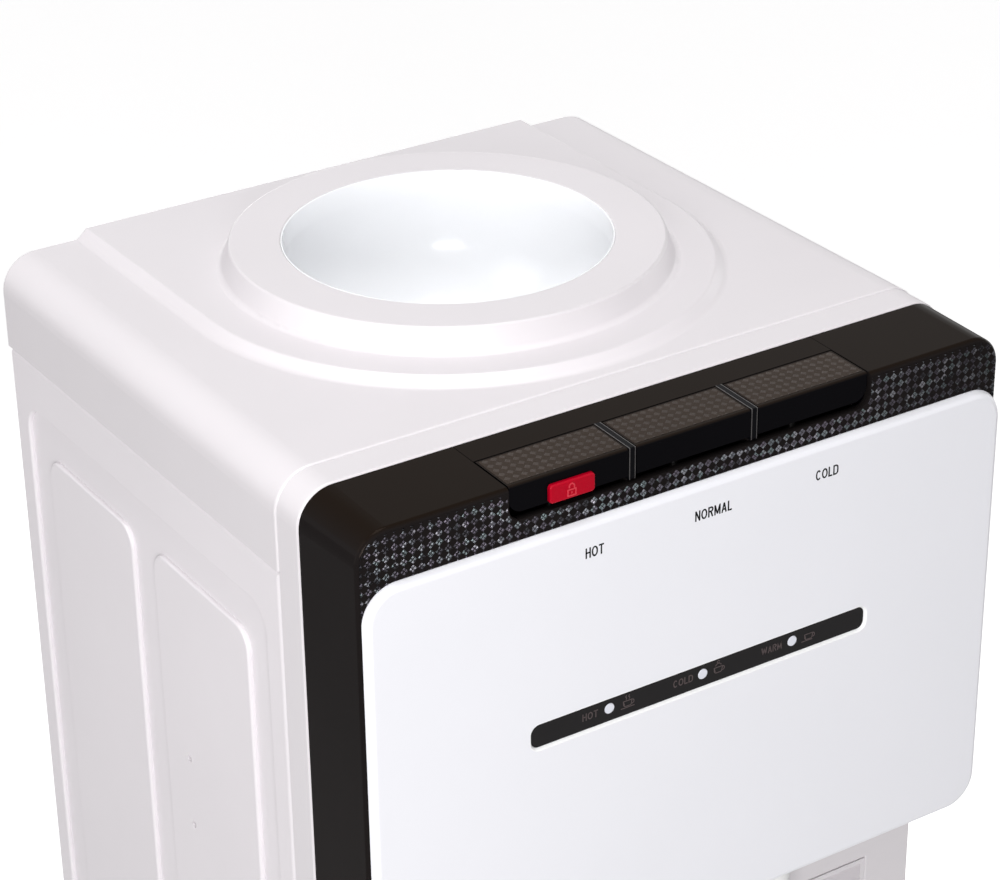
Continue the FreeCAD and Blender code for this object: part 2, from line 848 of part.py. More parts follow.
def make_button(name, left):
    right = left + button_width
    shell = sloped_x(left, right, button_front_y, button_rear_y, button_low, 0)
    shell = rounded(shell, button_edge_radius, lambda bounds: near(bounds.YMax, button_front_y)
                    and near(bounds.ZMin, flush_level(button_front_y)))
    end = {"hot": left, "cold": right}.get(name)
    if end is not None:
        shell = rounded(shell, button_corner_radius, lambda bounds: near(bounds.XMin, end)
                        and near(bounds.XMax, end) and near(bounds.ZMax, button_low))
    shell = shell.cut(sloped_x(left + button_wall, right - button_wall, button_front_y + button_wall,
                               button_rear_y - button_wall, button_low - overrun, button_wall))
    arm_low = hinge_level - arm_height / 2
    arm_high = hinge_level + arm_height / 2
    for arm_left in (left + arm_inset, right - arm_inset - arm_width):
        arm = box(arm_left, arm_left + arm_width, button_rear_y - button_wall, hinge_y, arm_low, arm_high)
        shell = shell.fuse(arm)
        shell = shell.fuse(rod_x(hinge_y, hinge_level, hinge_eye_radius, arm_left, arm_left + arm_width))
    pin_hole = hinge_pin_radius + pin_gap
    shell = shell.cut(rod_x(hinge_y, hinge_level, pin_hole, left - overrun, right + overrun))
    middle = left + button_width / 2
    shell = shell.fuse(rod_z(middle, tap_y, boss_radius, boss_low, flush_level(tap_y) - button_wall / 2))
    if name == "hot":
        slot = tab_stem(face_gap)
        shell = shell.cut(slot)
        shell = shell.cut(slot.translated(at(tab_travel, 0, 0)))
        shell = shell.cut(box(tab_centre_x, tab_centre_x + tab_travel, button_front_y - overrun,
                              button_front_y + button_wall + pin_gap, slot.BoundBox.ZMin, slot.BoundBox.ZMax))
    save("button_" + name, shell.removeSplitter())


def tab_stem(spare):
    half = tab_stem_width / 2 + spare
    middle = top_height - tab_drop - tab_height / 2
    reach = tab_stem_height / 2 + spare
    back = button_front_y + button_wall + face_gap
    front = button_front_y - face_gap
    return box(tab_centre_x - half, tab_centre_x + half, front, back, middle - reach, middle + reach)


def make_lock_tab():
    """The red tab: a face plate, a stem through the button's front wall and a keeper behind it."""
    high = top_height - tab_drop
    low = high - tab_height
    face_back = button_front_y - face_gap
    face = box(tab_centre_x - tab_width / 2, tab_centre_x + tab_width / 2, face_back - tab_thickness,
               face_back, low, high)
    face = rounded(face, tab_edge_radius, flat_at_y(face_back - tab_thickness))
    stem = tab_stem(0)
    bounds = stem.BoundBox
    keeper = box(bounds.XMin - tab_keeper_overlap, bounds.XMax + tab_keeper_overlap, bounds.YMax,
                 bounds.YMax + tab_keeper_thickness, bounds.ZMin - tab_keeper_overlap / 2,
                 bounds.ZMax + tab_keeper_overlap / 2)
    save("hot_lock_tab", face.fuse(stem).fuse(keeper).removeSplitter())


# Push rods, springs and taps

def make_tap(name, x):
    collar_low = guide_plate_level + plate_thickness + spring_height
    rod = rod_z(x, tap_y, rod_radius, rod_low, rod_top)
    rod = rod.fuse(rod_z(x, tap_y, rod_collar_radius, collar_low, collar_low + rod_collar_height))
    save("rod_" + name, rod)
    spring_bore = rod_radius + face_gap
    spring = sleeve_z(x, tap_y, spring_bore + spring_wall, spring_bore, guide_plate_level + plate_thickness,
                      collar_low)
    save("spring_" + name, spring)
    tap = rod_z(x, tap_y, tap_body_radius, tap_body_low, tap_plate_level)
    tap = tap.fuse(rod_z(x, tap_y, tap_neck_radius, tap_plate_level, tap_plate_level + tap_neck_height))
    tap = tap.fuse(rod_z(x, tap_y, spout_radius, spout_low, tap_body_low))
    barb_end = tap_y + tap_body_radius + barb_length
    tap = tap.fuse(rod_y(x, tap_inlet_level, barb_radius, tap_y, barb_end))
    bore_low = rod_low - tap_bore_depth
    bore_high = tap_plate_level + 2 * tap_neck_height
    tap = tap.cut(rod_z(x, tap_y, rod_radius + face_gap, bore_low, bore_high))
    tap = tap.cut(rod_z(x, tap_y, spout_bore, spout_low - overrun, bore_low))
    tap = tap.cut(rod_y(x, tap_inlet_level, barb_radius / 2, tap_y, barb_end + overrun))
    save("tap_" + name, tap)


def cross_plate(level):
    """A steel strip across the head, bored for the rods or for the tap necks."""
    reach = surround_front_width / 2 - surround_wall - sheet_gap
    front = surround_y + surround_wall + sheet_gap
    plate = box(-reach, reach, front, frame_y - sheet_gap, level, level + plate_thickness)
    bore = tap_neck_radius if level == tap_plate_level else rod_radius
    for x in button_centres:
        plate = plate.cut(rod_z(x, tap_y, bore + face_gap, level - overrun,
                                level + plate_thickness + overrun))
    return plate


def tank_shelf(level, holes):
    """A steel shelf with folded front and rear flanges, standing between the side panels."""
    reach = side_inner_x - sheet_gap
    front = ring_y - shelf_front_reach
    back = rear_panel_y - sheet_gap
    shelf = box(-reach, reach, front, back, level, level + plate_thickness)
    low = level - shelf_flange
    shelf = shelf.fuse(box(-reach, reach, back - plate_thickness, back, low, level))
    if level == upper_shelf_level:
        shelf = shelf.fuse(box(-reach, reach, front, front + plate_thickness, low, level))
    for x, y, radius in holes:
        shelf = shelf.cut(rod_z(x, y, radius, level - overrun, level + plate_thickness + overrun))
    return shelf.removeSplitter()


def make_shelves():
    pipe_hole = pipe_radius + face_gap * 3
    hose_hole = hose_radius + face_gap * 3
    lower_holes = (
        (discharge_x, discharge_y, pipe_hole),
        (suction_x, suction_y, pipe_hole),
        (liquid_x, liquid_y, pipe_hole),
        (liquid_x, capillary_y, pipe_hole),
    )
    upper_holes = (
        (discharge_x, discharge_y, pipe_hole),
        (suction_x, suction_y, pipe_hole),
        (liquid_x, capillary_y, pipe_hole),
        (hot_hose_x, hot_tank_y, hose_hole),
        (hot_tank_x, hot_tank_y, drain_radius + face_gap),
    )
    save("inner_shelves", tank_shelf(lower_shelf_level, lower_holes),
         tank_shelf(upper_shelf_level, upper_holes), cross_plate(tap_plate_level),
         cross_plate(guide_plate_level))


# Tanks and insulation

def make_cold_tank():
    outer = rod_z(0, ring_y, cold_tank_radius, cold_tank_low, cold_tank_top)
    inner = rod_z(0, ring_y, cold_tank_radius - tank_wall, cold_tank_low + tank_wall,
                  cold_tank_top - tank_wall)
    tank = outer.cut(inner)
    mouth = bowl_neck_radius + face_gap
    tank = tank.cut(rod_z(0, ring_y, mouth, cold_tank_top - overrun, cold_tank_top + overrun))
    tank = tank.cut(rod_z(hot_tank_x, hot_tank_y, drain_bore, cold_tank_low - overrun,
                          cold_tank_low + overrun))
    for x, level in ((button_centres[1], tap_inlet_level), (button_centres[2] / 2, cold_outlet_level)):
        tank = tank.cut(rod_y(x, level, hose_bore, ring_y - cold_tank_radius - overrun, ring_y))
    save("cold_tank", tank)
    save("neck_gasket", sleeve_z(0, ring_y, mouth + gasket_wall, bowl_neck_radius + gasket_gap, cold_tank_top,
                                 cold_tank_top + gasket_height))
    coil_low = cold_tank_low + coil_rise
    coil = sleeve_z(0, ring_y, coil_radius + coil_thickness, coil_radius, coil_low, coil_low + coil_height)
    for x, level in ((button_centres[1], tap_inlet_level), (button_centres[2] / 2, cold_outlet_level)):
        coil = coil.cut(rod_y(x, level, hose_radius + face_gap, ring_y - insulation_radius, ring_y))
    save("evaporator_coil", coil)


def make_insulation():
    low = upper_shelf_level + plate_thickness
    outer = rod_z(0, ring_y, insulation_radius, low, cold_tank_top)
    inner = rod_z(0, ring_y, insulation_bore, cold_tank_low, cold_tank_top + overrun)
    jacket = outer.cut(inner)
    jacket = jacket.cut(rod_z(hot_tank_x, hot_tank_y, drain_radius + face_gap, low - overrun,
                              cold_tank_low + overrun))
    bore_start = ring_y - insulation_radius - overrun
    for x, level in ((button_centres[1], tap_inlet_level), (button_centres[2] / 2, cold_outlet_level)):
        jacket = jacket.cut(rod_y(x, level, hose_radius + face_gap, bore_start, ring_y))
    pipe_hole = pipe_radius + face_gap
    jacket = jacket.cut(rod_x(ring_y, evaporator_outlet_level, pipe_hole, 0, insulation_radius + overrun))
    jacket = jacket.cut(rod_x(capillary_y, evaporator_inlet_level, pipe_hole,
                              -insulation_radius - overrun, 0))
    lid_bore = bowl_neck_radius + face_gap + gasket_wall + face_gap
    lid_high = cold_tank_top + insulation_lid_height
    lid = sleeve_z(0, ring_y, insulation_radius, lid_bore, cold_tank_top, lid_high)
    sleeve = sleeve_z(hot_tank_x, hot_tank_y, hot_insulation_radius, hot_insulation_bore, hot_tank_low,
                      hot_tank_top)
    drain_hole = rod_y(hot_tank_x, hot_tank_low + drain_rise, drain_radius + face_gap, hot_tank_y,
                       hot_tank_y + hot_insulation_radius + overrun)
    outlet_hole = rod_x(hot_tank_y, hot_outlet_level(), hose_radius + face_gap,
                        hot_tank_x - hot_insulation_radius - overrun, hot_tank_x)
    sleeve = sleeve.cut(drain_hole).cut(outlet_hole)
    cap = sleeve_z(hot_tank_x, hot_tank_y, hot_insulation_radius, drain_radius + face_gap, hot_tank_top,
                   hot_tank_top + hot_insulation_lid)
    save("tank_insulation", jacket, lid, sleeve, cap)


def hot_outlet_level():
    return hot_tank_top - 2 * hose_radius


def make_hot_tank():
    outer = rod_z(hot_tank_x, hot_tank_y, hot_tank_radius, hot_tank_low, hot_tank_top)
    inner = rod_z(hot_tank_x, hot_tank_y, hot_tank_radius - tank_wall, hot_tank_low + tank_wall,
                  hot_tank_top - tank_wall)
    tank = outer.cut(inner)
    tank = tank.cut(rod_z(hot_tank_x, hot_tank_y, drain_bore, hot_tank_top - overrun, hot_tank_top + overrun))
    tank = tank.cut(rod_y(hot_tank_x, hot_tank_low + drain_rise, drain_bore, hot_tank_y,
                          hot_tank_y + hot_tank_radius + overrun))
    tank = tank.cut(rod_x(hot_tank_y, hot_outlet_level(), hose_bore,
                          hot_tank_x - hot_tank_radius - overrun, hot_tank_x))
    save("hot_tank", tank)
    band_low = hot_tank_low + heater_rise
    save("heater_band", sleeve_z(hot_tank_x, hot_tank_y, heater_radius + heater_thickness, heater_radius,
                                 band_low, band_low + heater_height))
    save("feed_tube", sleeve_z(hot_tank_x, hot_tank_y, drain_radius, drain_bore, hot_tank_top, cold_tank_low))


def make_drain():
    level = hot_tank_low + drain_rise
    start = hot_tank_y + hot_tank_radius + pin_gap
    end = side_rear_y + drain_reach
    pipe = rod_y(hot_tank_x, level, drain_radius, start, end)
    pipe = pipe.cut(rod_y(hot_tank_x, level, drain_bore, start - overrun, end + overrun))
    cap = rod_y(hot_tank_x, level, cap_radius, end - cap_length + cap_radius / 2, end + cap_radius / 2)
    cap = cap.cut(rod_y(hot_tank_x, level, drain_radius + face_gap, end - cap_length, end + pin_gap))
    save("drain_tube", pipe)
    save("drain_cap", cap)


def make_hoses():
    barb_end = tap_y + tap_body_radius
    start_gap = tap_y + tap_body_radius + pin_gap
    hot_x, normal_x, cold_x = button_centres
    tank_front = ring_y - math.sqrt(cold_tank_radius ** 2 - normal_x ** 2) - face_gap
    normal = rod_y(normal_x, tap_inlet_level, hose_radius, start_gap, tank_front)
    normal = normal.cut(rod_y(normal_x, tap_inlet_level, barb_radius + pin_gap, barb_end - overrun,
                              tank_front + overrun))
    save("hose_normal", normal)
    outlet_x = cold_x / 2
    cold_front = ring_y - math.sqrt(cold_tank_radius ** 2 - (outlet_x - hose_radius) ** 2) - face_gap
    bend_y = start_gap + barb_length + hose_bend
    cold_route = [
        at(outlet_x, cold_front, cold_outlet_level),
        at(outlet_x, bend_y + sheet_gap, cold_outlet_level),
        at(cold_x, bend_y, tap_inlet_level),
        at(cold_x, start_gap, tap_inlet_level),
    ]
    save("hose_cold", hose(cold_route, hose_bend, hose_radius, barb_radius + pin_gap))
    hot_start = hot_tank_x - hot_tank_radius - face_gap * 2
    hot_route = [
        at(hot_start, hot_tank_y, hot_outlet_level()),
        at(hot_hose_x, hot_tank_y, hot_outlet_level()),
        at(hot_hose_x, hot_tank_y, tap_inlet_level),
        at(hot_hose_x, bend_y + hose_bend, tap_inlet_level),
        at(hot_x, bend_y, tap_inlet_level),
        at(hot_x, start_gap, tap_inlet_level),
    ]
    save("hose_hot", hose(hot_route, hose_bend, hose_radius, barb_radius + pin_gap))


# Side and rear panels

def make_side_panel(name, way):
    high = skirt_level
    rear = side_rear_y
    panel = box(side_inner_x, side_x, parting_y, rear, plinth_top, high)
    panel = rounded(panel, side_edge_radius, lambda bounds: near(bounds.XMin, side_x)
                    and (flat_at_z(high)(bounds) or flat_at_y(parting_y)(bounds)))
    field_front = parting_y + field_front_inset - frame_depth
    field_rear = rear - field_rear_inset
    field_top = top_height - field_top_drop
    field_low = plinth_top + field_low_rise
    face = side_x - relief_depth
    field = slab_x(field_front, field_rear, field_low, field_top, face, side_x + overrun, field_radius)
    inner_front = field_front + inner_front_inset
    inner_rear = field_rear - inner_rear_inset
    span = inner_rear - inner_front - inner_gap
    split = inner_front + span * inner_front_share
    inner_low = field_low + inner_low_rise
    inner_top = top_height - inner_top_drop
    for start, end in ((inner_front, split), (split + inner_gap, inner_rear)):
        raised = slab_x(start, end, inner_low, inner_top, face - overrun, side_x + 2 * overrun, inner_radius)
        field = field.cut(raised)
    panel = panel.cut(field)
    panel = rounded(panel, relief_edge_radius, lambda bounds: near(bounds.XMin, side_x)
                    and near(bounds.XMax, side_x) and bounds.YMin > field_front - pin_gap
                    and bounds.YMax < field_rear + pin_gap)
    for drop in side_hole_drops:
        panel = panel.cut(rod_x(front_y + side_hole_setback, top_height - drop, side_hole_radius,
                                side_inner_x - overrun, side_x + overrun))
    if way < 0:
        panel = panel.mirror(at(0, 0, 0), at(1, 0, 0))
    save("side_panel_" + name, panel)


def make_rear_panel():
    reach = side_inner_x - rear_side_gap
    high = skirt_level + cover_skirt / 2
    front = rear_panel_y
    back = side_rear_y
    panel = box(-reach, reach, front, back, plinth_top, high)
    for place in range(louvre_count):
        low = louvre_low + place * louvre_pitch
        panel = panel.cut(slab_y(louvre_centre_x - louvre_width / 2, louvre_centre_x + louvre_width / 2, low,
                                 low + louvre_height, front - overrun, back + overrun,
                                 louvre_height / 2 - pin_gap, louvre_height / 2 - pin_gap))
    holes = (
        (hot_tank_x, hot_tank_low + drain_rise, drain_radius + face_gap),
        (discharge_x, condenser_top, pipe_radius + face_gap),
        (liquid_x, condenser_low, pipe_radius + face_gap),
        (gland_x, gland_level, gland_radius + pin_gap),
    )
    for x, z, radius in holes:
        panel = panel.cut(rod_y(x, z, radius, front - overrun, back + overrun))
    half = bezel_width / 2 - bezel_proud + pin_gap
    rise = bezel_height / 2 - bezel_proud + pin_gap
    panel = panel.cut(box(bezel_centre_x - half, bezel_centre_x + half, front - overrun, back + overrun,
                          bezel_level - rise, bezel_level + rise))
    screws = []
    levels = [plinth_top + screw_margin + row * (skirt_level - plinth_top - 2 * screw_margin)
              / (screw_rows - 1) for row in range(screw_rows)]
    for x in (-reach + screw_inset, reach - screw_inset):
        for z in levels:
            panel = panel.cut(rod_y(x, z, screw_shank_radius + pin_gap, front - overrun, back + overrun))
            head = rod_y(x, z, screw_head_radius, back, back + screw_head_height)
            screws.append(head.fuse(rod_y(x, z, screw_shank_radius, back - screw_length, back)))
    save("rear_panel", panel)
    save("rear_screws", *screws)


# Plinth and feet

def make_plinth():
    x = half_width - plinth_inset
    front = surround_y + plinth_front_set
    back = rear_panel_y
    plinth = slab_z(-x, x, front, back, foot_height, plinth_top, plinth_radius)
    inner_x = x - plinth_wall
    plinth = plinth.cut(slab_z(-inner_x, inner_x, frame_y + plinth_wall, back - plinth_wall,
                               foot_height + plinth_wall, plinth_top + overrun, plinth_radius - plinth_wall))
    plinth = plinth.cut(rod_z(hinge_x, door_hinge_y, door_pin_radius + pin_gap, plinth_top - door_pin_reach,
                              plinth_top + overrun))
    feet = []
    for foot_x in (-x + foot_inset_x, x - foot_inset_x):
        for foot_y in (front + foot_inset_y + plinth_front_set, back - foot_inset_y):
            plinth = plinth.cut(rod_z(foot_x, foot_y, foot_stem_radius + pin_gap, foot_height - overrun,
                                      foot_height + plinth_wall + overrun))
            foot = rod_z(foot_x, foot_y, foot_radius, 0, foot_height)
            feet.append(foot.fuse(rod_z(foot_x, foot_y, foot_stem_radius, foot_height,
                                        foot_height + plinth_wall)))
    save("plinth", plinth)
    save("feet", *feet)


# Dispensing alcove, ledge, tray and grille

def open_box(x, y0, y1, z0, z1, wall, radius):
    """A liner open at its front, with rounded inner corners."""
    start = y0 - radius - overrun
    outer = slab_z(-x, x, start, y1, z0, z1, radius)
    inner = slab_z(-x + wall, x - wall, start - overrun, y1 - wall, z0 + wall, z1 - wall, radius - wall)
    shell = outer.cut(inner)
    return shell.cut(box(-x - overrun, x + overrun, start - overrun, y0, z0 - overrun, z1 + overrun))


def make_alcove():
    liner = open_box(alcove_x - face_gap, frame_y, opening_back_y, alcove_floor + face_gap,
                     alcove_top - face_gap, liner_wall, alcove_radius)
    save("alcove_liner", liner)
    ledge = slab_z(-door_x, door_x, ledge_y, frame_y + ledge_radius, ledge_low, alcove_floor, ledge_radius)
    ledge = rounded(ledge, ledge_edge_radius, lambda bounds: flat_at_z(alcove_floor)(bounds)
                    or flat_at_z(ledge_low)(bounds))
    ledge = ledge.cut(box(-half_width, half_width, frame_y, frame_y + 2 * ledge_radius, ledge_low - overrun,
                          alcove_floor + overrun))
    ledge = ledge.cut(rod_z(hinge_x, door_hinge_y, door_pin_radius + pin_gap, ledge_low - overrun,
                            ledge_low + door_pin_reach))
    save("tray_ledge", ledge)


def make_tray():
    x = alcove_x - tray_side_gap
    front = ledge_y + tray_front_set
    back = opening_back_y - liner_wall - face_gap * 3
    low = alcove_floor + liner_wall + face_gap * 2
    high = low + tray_height
    tray = slab_z(-x, x, front, back, low, high, tray_radius)
    inner = slab_z(-x + tray_wall, x - tray_wall, front + tray_wall, back - tray_wall, low + tray_wall,
                   high + overrun, tray_radius - tray_wall)
    tray = tray.cut(inner)
    runner_low = alcove_floor
    for side in (-x + tray_radius, x - tray_radius - tray_wall):
        tray = tray.fuse(box(side, side + tray_wall, front + tray_radius, frame_y - face_gap,
                             runner_low, low))
    save("drip_tray", tray)
    seat = high
    grille = slab_z(-x, x, front, back, seat, seat + grille_thickness, tray_radius)
    lip_x = x - tray_wall - face_gap
    lip = slab_z(-lip_x, lip_x, front + tray_wall + face_gap, back - tray_wall - face_gap, seat - grille_lip,
                 seat, tray_radius - tray_wall)
    hollow_x = lip_x - tray_wall
    hollow_margin = 2 * tray_wall + face_gap
    lip = lip.cut(slab_z(-hollow_x, hollow_x, front + hollow_margin, back - hollow_margin,
                         seat - grille_lip - overrun, seat + overrun, tray_radius - 2 * tray_wall))
    grille = grille.fuse(lip)
    count = int((2 * x - 2 * grille_margin) / grille_pitch)
    first = -(count - 1) * grille_pitch / 2
    slots = []
    middle = (front + back) / 2
    for place in range(count):
        slot_x = first + place * grille_pitch
        for start, end in ((front + grille_margin, middle - grille_slot),
                           (middle + grille_slot, back - grille_margin)):
            slots.append(box(slot_x - grille_slot / 2, slot_x + grille_slot / 2, start, end,
                             seat - overrun, seat + grille_thickness + overrun))
    grille = grille.cut(Part.makeCompound(slots))
    save("drip_grille", grille)


# Cabinet and door

def make_cabinet():
    liner = open_box(alcove_x - face_gap, frame_y + face_gap, frame_y + cabinet_depth,
                     cabinet_opening_low + face_gap, cabinet_opening_top - face_gap, cabinet_wall,
                     cabinet_radius)
    save("cabinet_liner", liner)


def make_door():
    shell = slab_y(-door_x, door_x, door_low, door_top, door_front_y, door_back_y - door_back_thickness,
                   door_radius, door_radius)
    shell = rounded(shell, door_edge_radius, flat_at_y(door_front_y))
    inner_x = door_x - door_wall
    inner_radius = door_radius - door_wall
    cavity = slab_y(-inner_x, inner_x, door_low + door_wall, door_top - door_wall, door_front_y + door_wall,
                    door_back_y, inner_radius, inner_radius)
    grip_high = door_top - door_wall - grip_width
    grip = slab_y(-door_x - overrun, -door_x + grip_width, grip_high - grip_height, grip_high,
                  door_back_y - door_back_thickness - grip_depth, door_back_y, door_wall, door_wall)
    grip_wall = slab_y(-door_x, -door_x + grip_width + door_wall, grip_high - grip_height - door_wall,
                       grip_high + door_wall, door_back_y - door_back_thickness - grip_depth - door_wall,
                       door_back_y - door_back_thickness, door_wall, door_wall)
    cavity = cavity.cut(grip_wall)
    for low, high in ((door_low, door_low + door_boss_height), (door_top - door_boss_height, door_top)):
        cavity = cavity.cut(rod_z(hinge_x, door_hinge_y, door_boss_radius, low, high))
    shell = shell.cut(cavity).cut(grip)
    pin_hole = door_pin_radius + pin_gap
    for low, high in ((door_low - overrun, door_low + door_pin_reach - door_gap / 2),
                      (door_top - door_pin_reach + door_gap / 2, door_top + overrun)):
        shell = shell.cut(rod_z(hinge_x, door_hinge_y, pin_hole, low, high))
    save("door_shell", shell)
    back = slab_y(-door_x, door_x, door_low, door_top, door_back_y - door_back_thickness, door_back_y,
                  door_radius, door_radius)
    back = back.cut(grip)
    save("door_inner_panel", back)
    pin_grip = door_pin_reach - door_gap
    low_pin = rod_z(hinge_x, door_hinge_y, door_pin_radius, plinth_top - door_pin_reach, door_low + pin_grip)
    high_pin = rod_z(hinge_x, door_hinge_y, door_pin_radius, door_top - pin_grip, ledge_low + door_pin_reach)
    save("door_hinge_pins", low_pin, high_pin)


# Compressor and refrigerant circuit

def make_compressor():
    floor = foot_height + plinth_wall
    plate_low = floor + compressor_mount_height
    body_low = plate_low + compressor_plate
    x0 = compressor_x - compressor_width / 2
    x1 = x0 + compressor_width
    y0 = compressor_y - compressor_depth / 2
    y1 = y0 + compressor_depth
    body_high = body_low + compressor_height
    body = slab_z(x0, x1, y0, y1, body_low, body_high, compressor_radius)
    body = rounded(body, compressor_dome, flat_at_z(body_high))
    plate = slab_z(x0, x1, y0, y1, plate_low, body_low, compressor_mount_radius)
    middle = body_low + compressor_height / 2
    terminal = box(x0 - terminal_width, x0 - face_gap, compressor_y - terminal_depth / 2,
                   compressor_y + terminal_depth / 2, middle - terminal_height / 2,
                   middle + terminal_height / 2)
    mounts = []
    for x in (x0 + compressor_mount_inset, x1 - compressor_mount_inset):
        for y in (y0 + compressor_mount_inset, y1 - compressor_mount_inset):
            mounts.append(rod_z(x, y, compressor_mount_radius, floor, plate_low))
    save("compressor", body.fuse(plate).removeSplitter(), terminal, *mounts)


def make_pipes():
    x1 = compressor_x + compressor_width / 2 + face_gap
    port = foot_height + plinth_wall + compressor_mount_height + discharge_rise
    coil_reach = coil_radius + coil_thickness + face_gap
    discharge = tube([
        at(x1, discharge_y, port),
        at(discharge_x, discharge_y, port),
        at(discharge_x, discharge_y, condenser_top),
        at(discharge_x, condenser_y, condenser_top),
        at(condenser_right, condenser_y, condenser_top),
    ], pipe_bend, pipe_radius)
    suction = tube([
        at(coil_reach, ring_y, evaporator_outlet_level),
        at(suction_x, ring_y, evaporator_outlet_level),
        at(suction_x, suction_y, evaporator_outlet_level),
        at(suction_x, suction_y, port),
        at(x1, suction_y, port),
    ], pipe_bend, pipe_radius)
    liquid = tube([
        at(condenser_left, condenser_y, condenser_low),
        at(liquid_x, condenser_y, condenser_low),
        at(liquid_x, liquid_y, condenser_low),
        at(liquid_x, liquid_y, drier_high),
    ], pipe_bend, pipe_radius)
    capillary = tube([
        at(liquid_x, liquid_y, drier_low),
        at(liquid_x, liquid_y, capillary_low),
        at(liquid_x, capillary_y, capillary_low),
        at(liquid_x, capillary_y, evaporator_inlet_level),
        at(-coil_reach, capillary_y, evaporator_inlet_level),
    ], pipe_bend, pipe_radius)
    drier = rod_z(liquid_x, liquid_y, drier_radius, drier_low, drier_high)
    save("refrigerant_pipes", discharge, suction, liquid, capillary, drier)


def make_condenser():
    corners = []
    for run in range(condenser_runs):
        level = condenser_top - run * condenser_pitch
        ends = [condenser_right, condenser_left]
        if run % 2:
            ends.reverse()
        corners.append((ends[0], ends[1], level))
    edges = []
    bend = condenser_pitch / 2
    for run, (start, end, level) in enumerate(corners):
        edges.append(Part.LineSegment(at(start, condenser_y, level), at(end, condenser_y, level)).toShape())
        if run + 1 < len(corners):
            out = -bend if run % 2 == 0 else bend
            edges.append(Part.Arc(at(end, condenser_y, level), at(end + out, condenser_y, level - bend),
                                  at(end, condenser_y, level - 2 * bend)).toShape())
    start = at(condenser_right, condenser_y, condenser_top)
    ring = Part.Wire(Part.makeCircle(pipe_radius, start, at(1, 0, 0)))
    serpentine = Part.Wire(edges).makePipeShell([ring], True, False)
    save("condenser_tube", serpentine)
    wire_y = depth / 2 - condenser_wire_radius
    low = condenser_low - condenser_margin
    high = condenser_top + condenser_margin
    span = condenser_right - condenser_left
    count = int(span / condenser_wire_pitch)
    first = condenser_left + (span - (count - 1) * condenser_wire_pitch) / 2
    last = first + (count - 1) * condenser_wire_pitch
    rail_y = wire_y - condenser_rail_radius
    grille = rod_x(rail_y, low, condenser_rail_radius, first - condenser_margin, last + condenser_margin)
    grille = grille.fuse(rod_x(rail_y, high, condenser_rail_radius, first - condenser_margin,
                               last + condenser_margin))
    wire_low = low - 2 * condenser_rail_radius
    wire_high = high + 2 * condenser_rail_radius
    wires = [rod_z(first + place * condenser_wire_pitch, wire_y, condenser_wire_radius, wire_low, wire_high)
             for place in range(count)]
    grille = grille.fuse(wires)
    brackets = []
    for x in (first, last):
        for z in (low, high):
            block = box(x - bracket_width / 2, x + bracket_width / 2, side_rear_y, rail_y,
                        z - bracket_height / 2, z + bracket_height / 2)
            brackets.append(block.cut(grille))
    save("condenser_grille", grille, *brackets)


# Rear switches and gland

def make_switches():
    x0 = bezel_centre_x - bezel_width / 2
    x1 = x0 + bezel_width
    z0 = bezel_level - bezel_height / 2
    z1 = z0 + bezel_height
    back = side_rear_y + bezel_proud
    bezel = slab_y(x0, x1, z0, z1, side_rear_y, back, bezel_proud, bezel_proud)
    bezel = bezel.fuse(box(x0 + bezel_proud, x1 - bezel_proud, side_rear_y - bezel_sunk, side_rear_y,
                           z0 + bezel_proud, z1 - bezel_proud))
    half = rocker_width / 2 + rocker_gap
    rise = rocker_height / 2 + rocker_gap
    pivot_y = side_rear_y - rocker_rise
    levels = (bezel_level + rocker_pitch / 2, bezel_level - rocker_pitch / 2)
    for name, z in zip(("hot", "cold"), levels):
        bezel = bezel.cut(box(bezel_centre_x - half, bezel_centre_x + half,
                              side_rear_y - bezel_sunk + bezel_proud, back + overrun, z - rise, z + rise))
        bezel = bezel.fuse(rod_x(pivot_y, z, rocker_pivot_radius, bezel_centre_x - half - pin_gap,
                                 bezel_centre_x + half + pin_gap))
        save("rocker_" + name, rocker(z, pivot_y, back))
    save("switch_bezel", bezel.removeSplitter())


def rocker(level, pivot_y, back):
    """A shallow vee with its upper half pressed in, bored for its pivot."""
    half = rocker_width / 2
    rise = rocker_height / 2
    swing = rise * math.tan(math.radians(rocker_tilt_deg))
    inner_y = pivot_y - rocker_depth / 2
    foot = rise * rocker_foot_share
    dip_y = back + swing * rocker_dip_share
    points = [
        at(-half, inner_y, level - foot),
        at(-half, dip_y + swing, level - rise),
        at(-half, dip_y, level),
        at(-half, dip_y + swing, level + rise),
        at(-half, inner_y, level + foot),
    ]
    body = Part.Face(Part.makePolygon(points + points[:1])).extrude(at(rocker_width, 0, 0))
    body = body.cut(rod_x(pivot_y, level, rocker_pivot_radius + pin_gap, -half - overrun, half + overrun))
    body.translate(at(bezel_centre_x, 0, 0))
    return body.rotated(at(bezel_centre_x, pivot_y, level), at(1, 0, 0), rocker_tilt_deg)


def make_gland():
    gland = rod_y(gland_x, gland_level, gland_radius, side_rear_y - gland_sunk, side_rear_y)
    gland = gland.fuse(rod_y(gland_x, gland_level, gland_flange_radius, side_rear_y,
                             side_rear_y + gland_proud))
    gland = gland.cut(rod_y(gland_x, gland_level, gland_bore, side_rear_y - gland_sunk - overrun,
                            side_rear_y + gland_proud + overrun))
    save("cord_gland", gland)


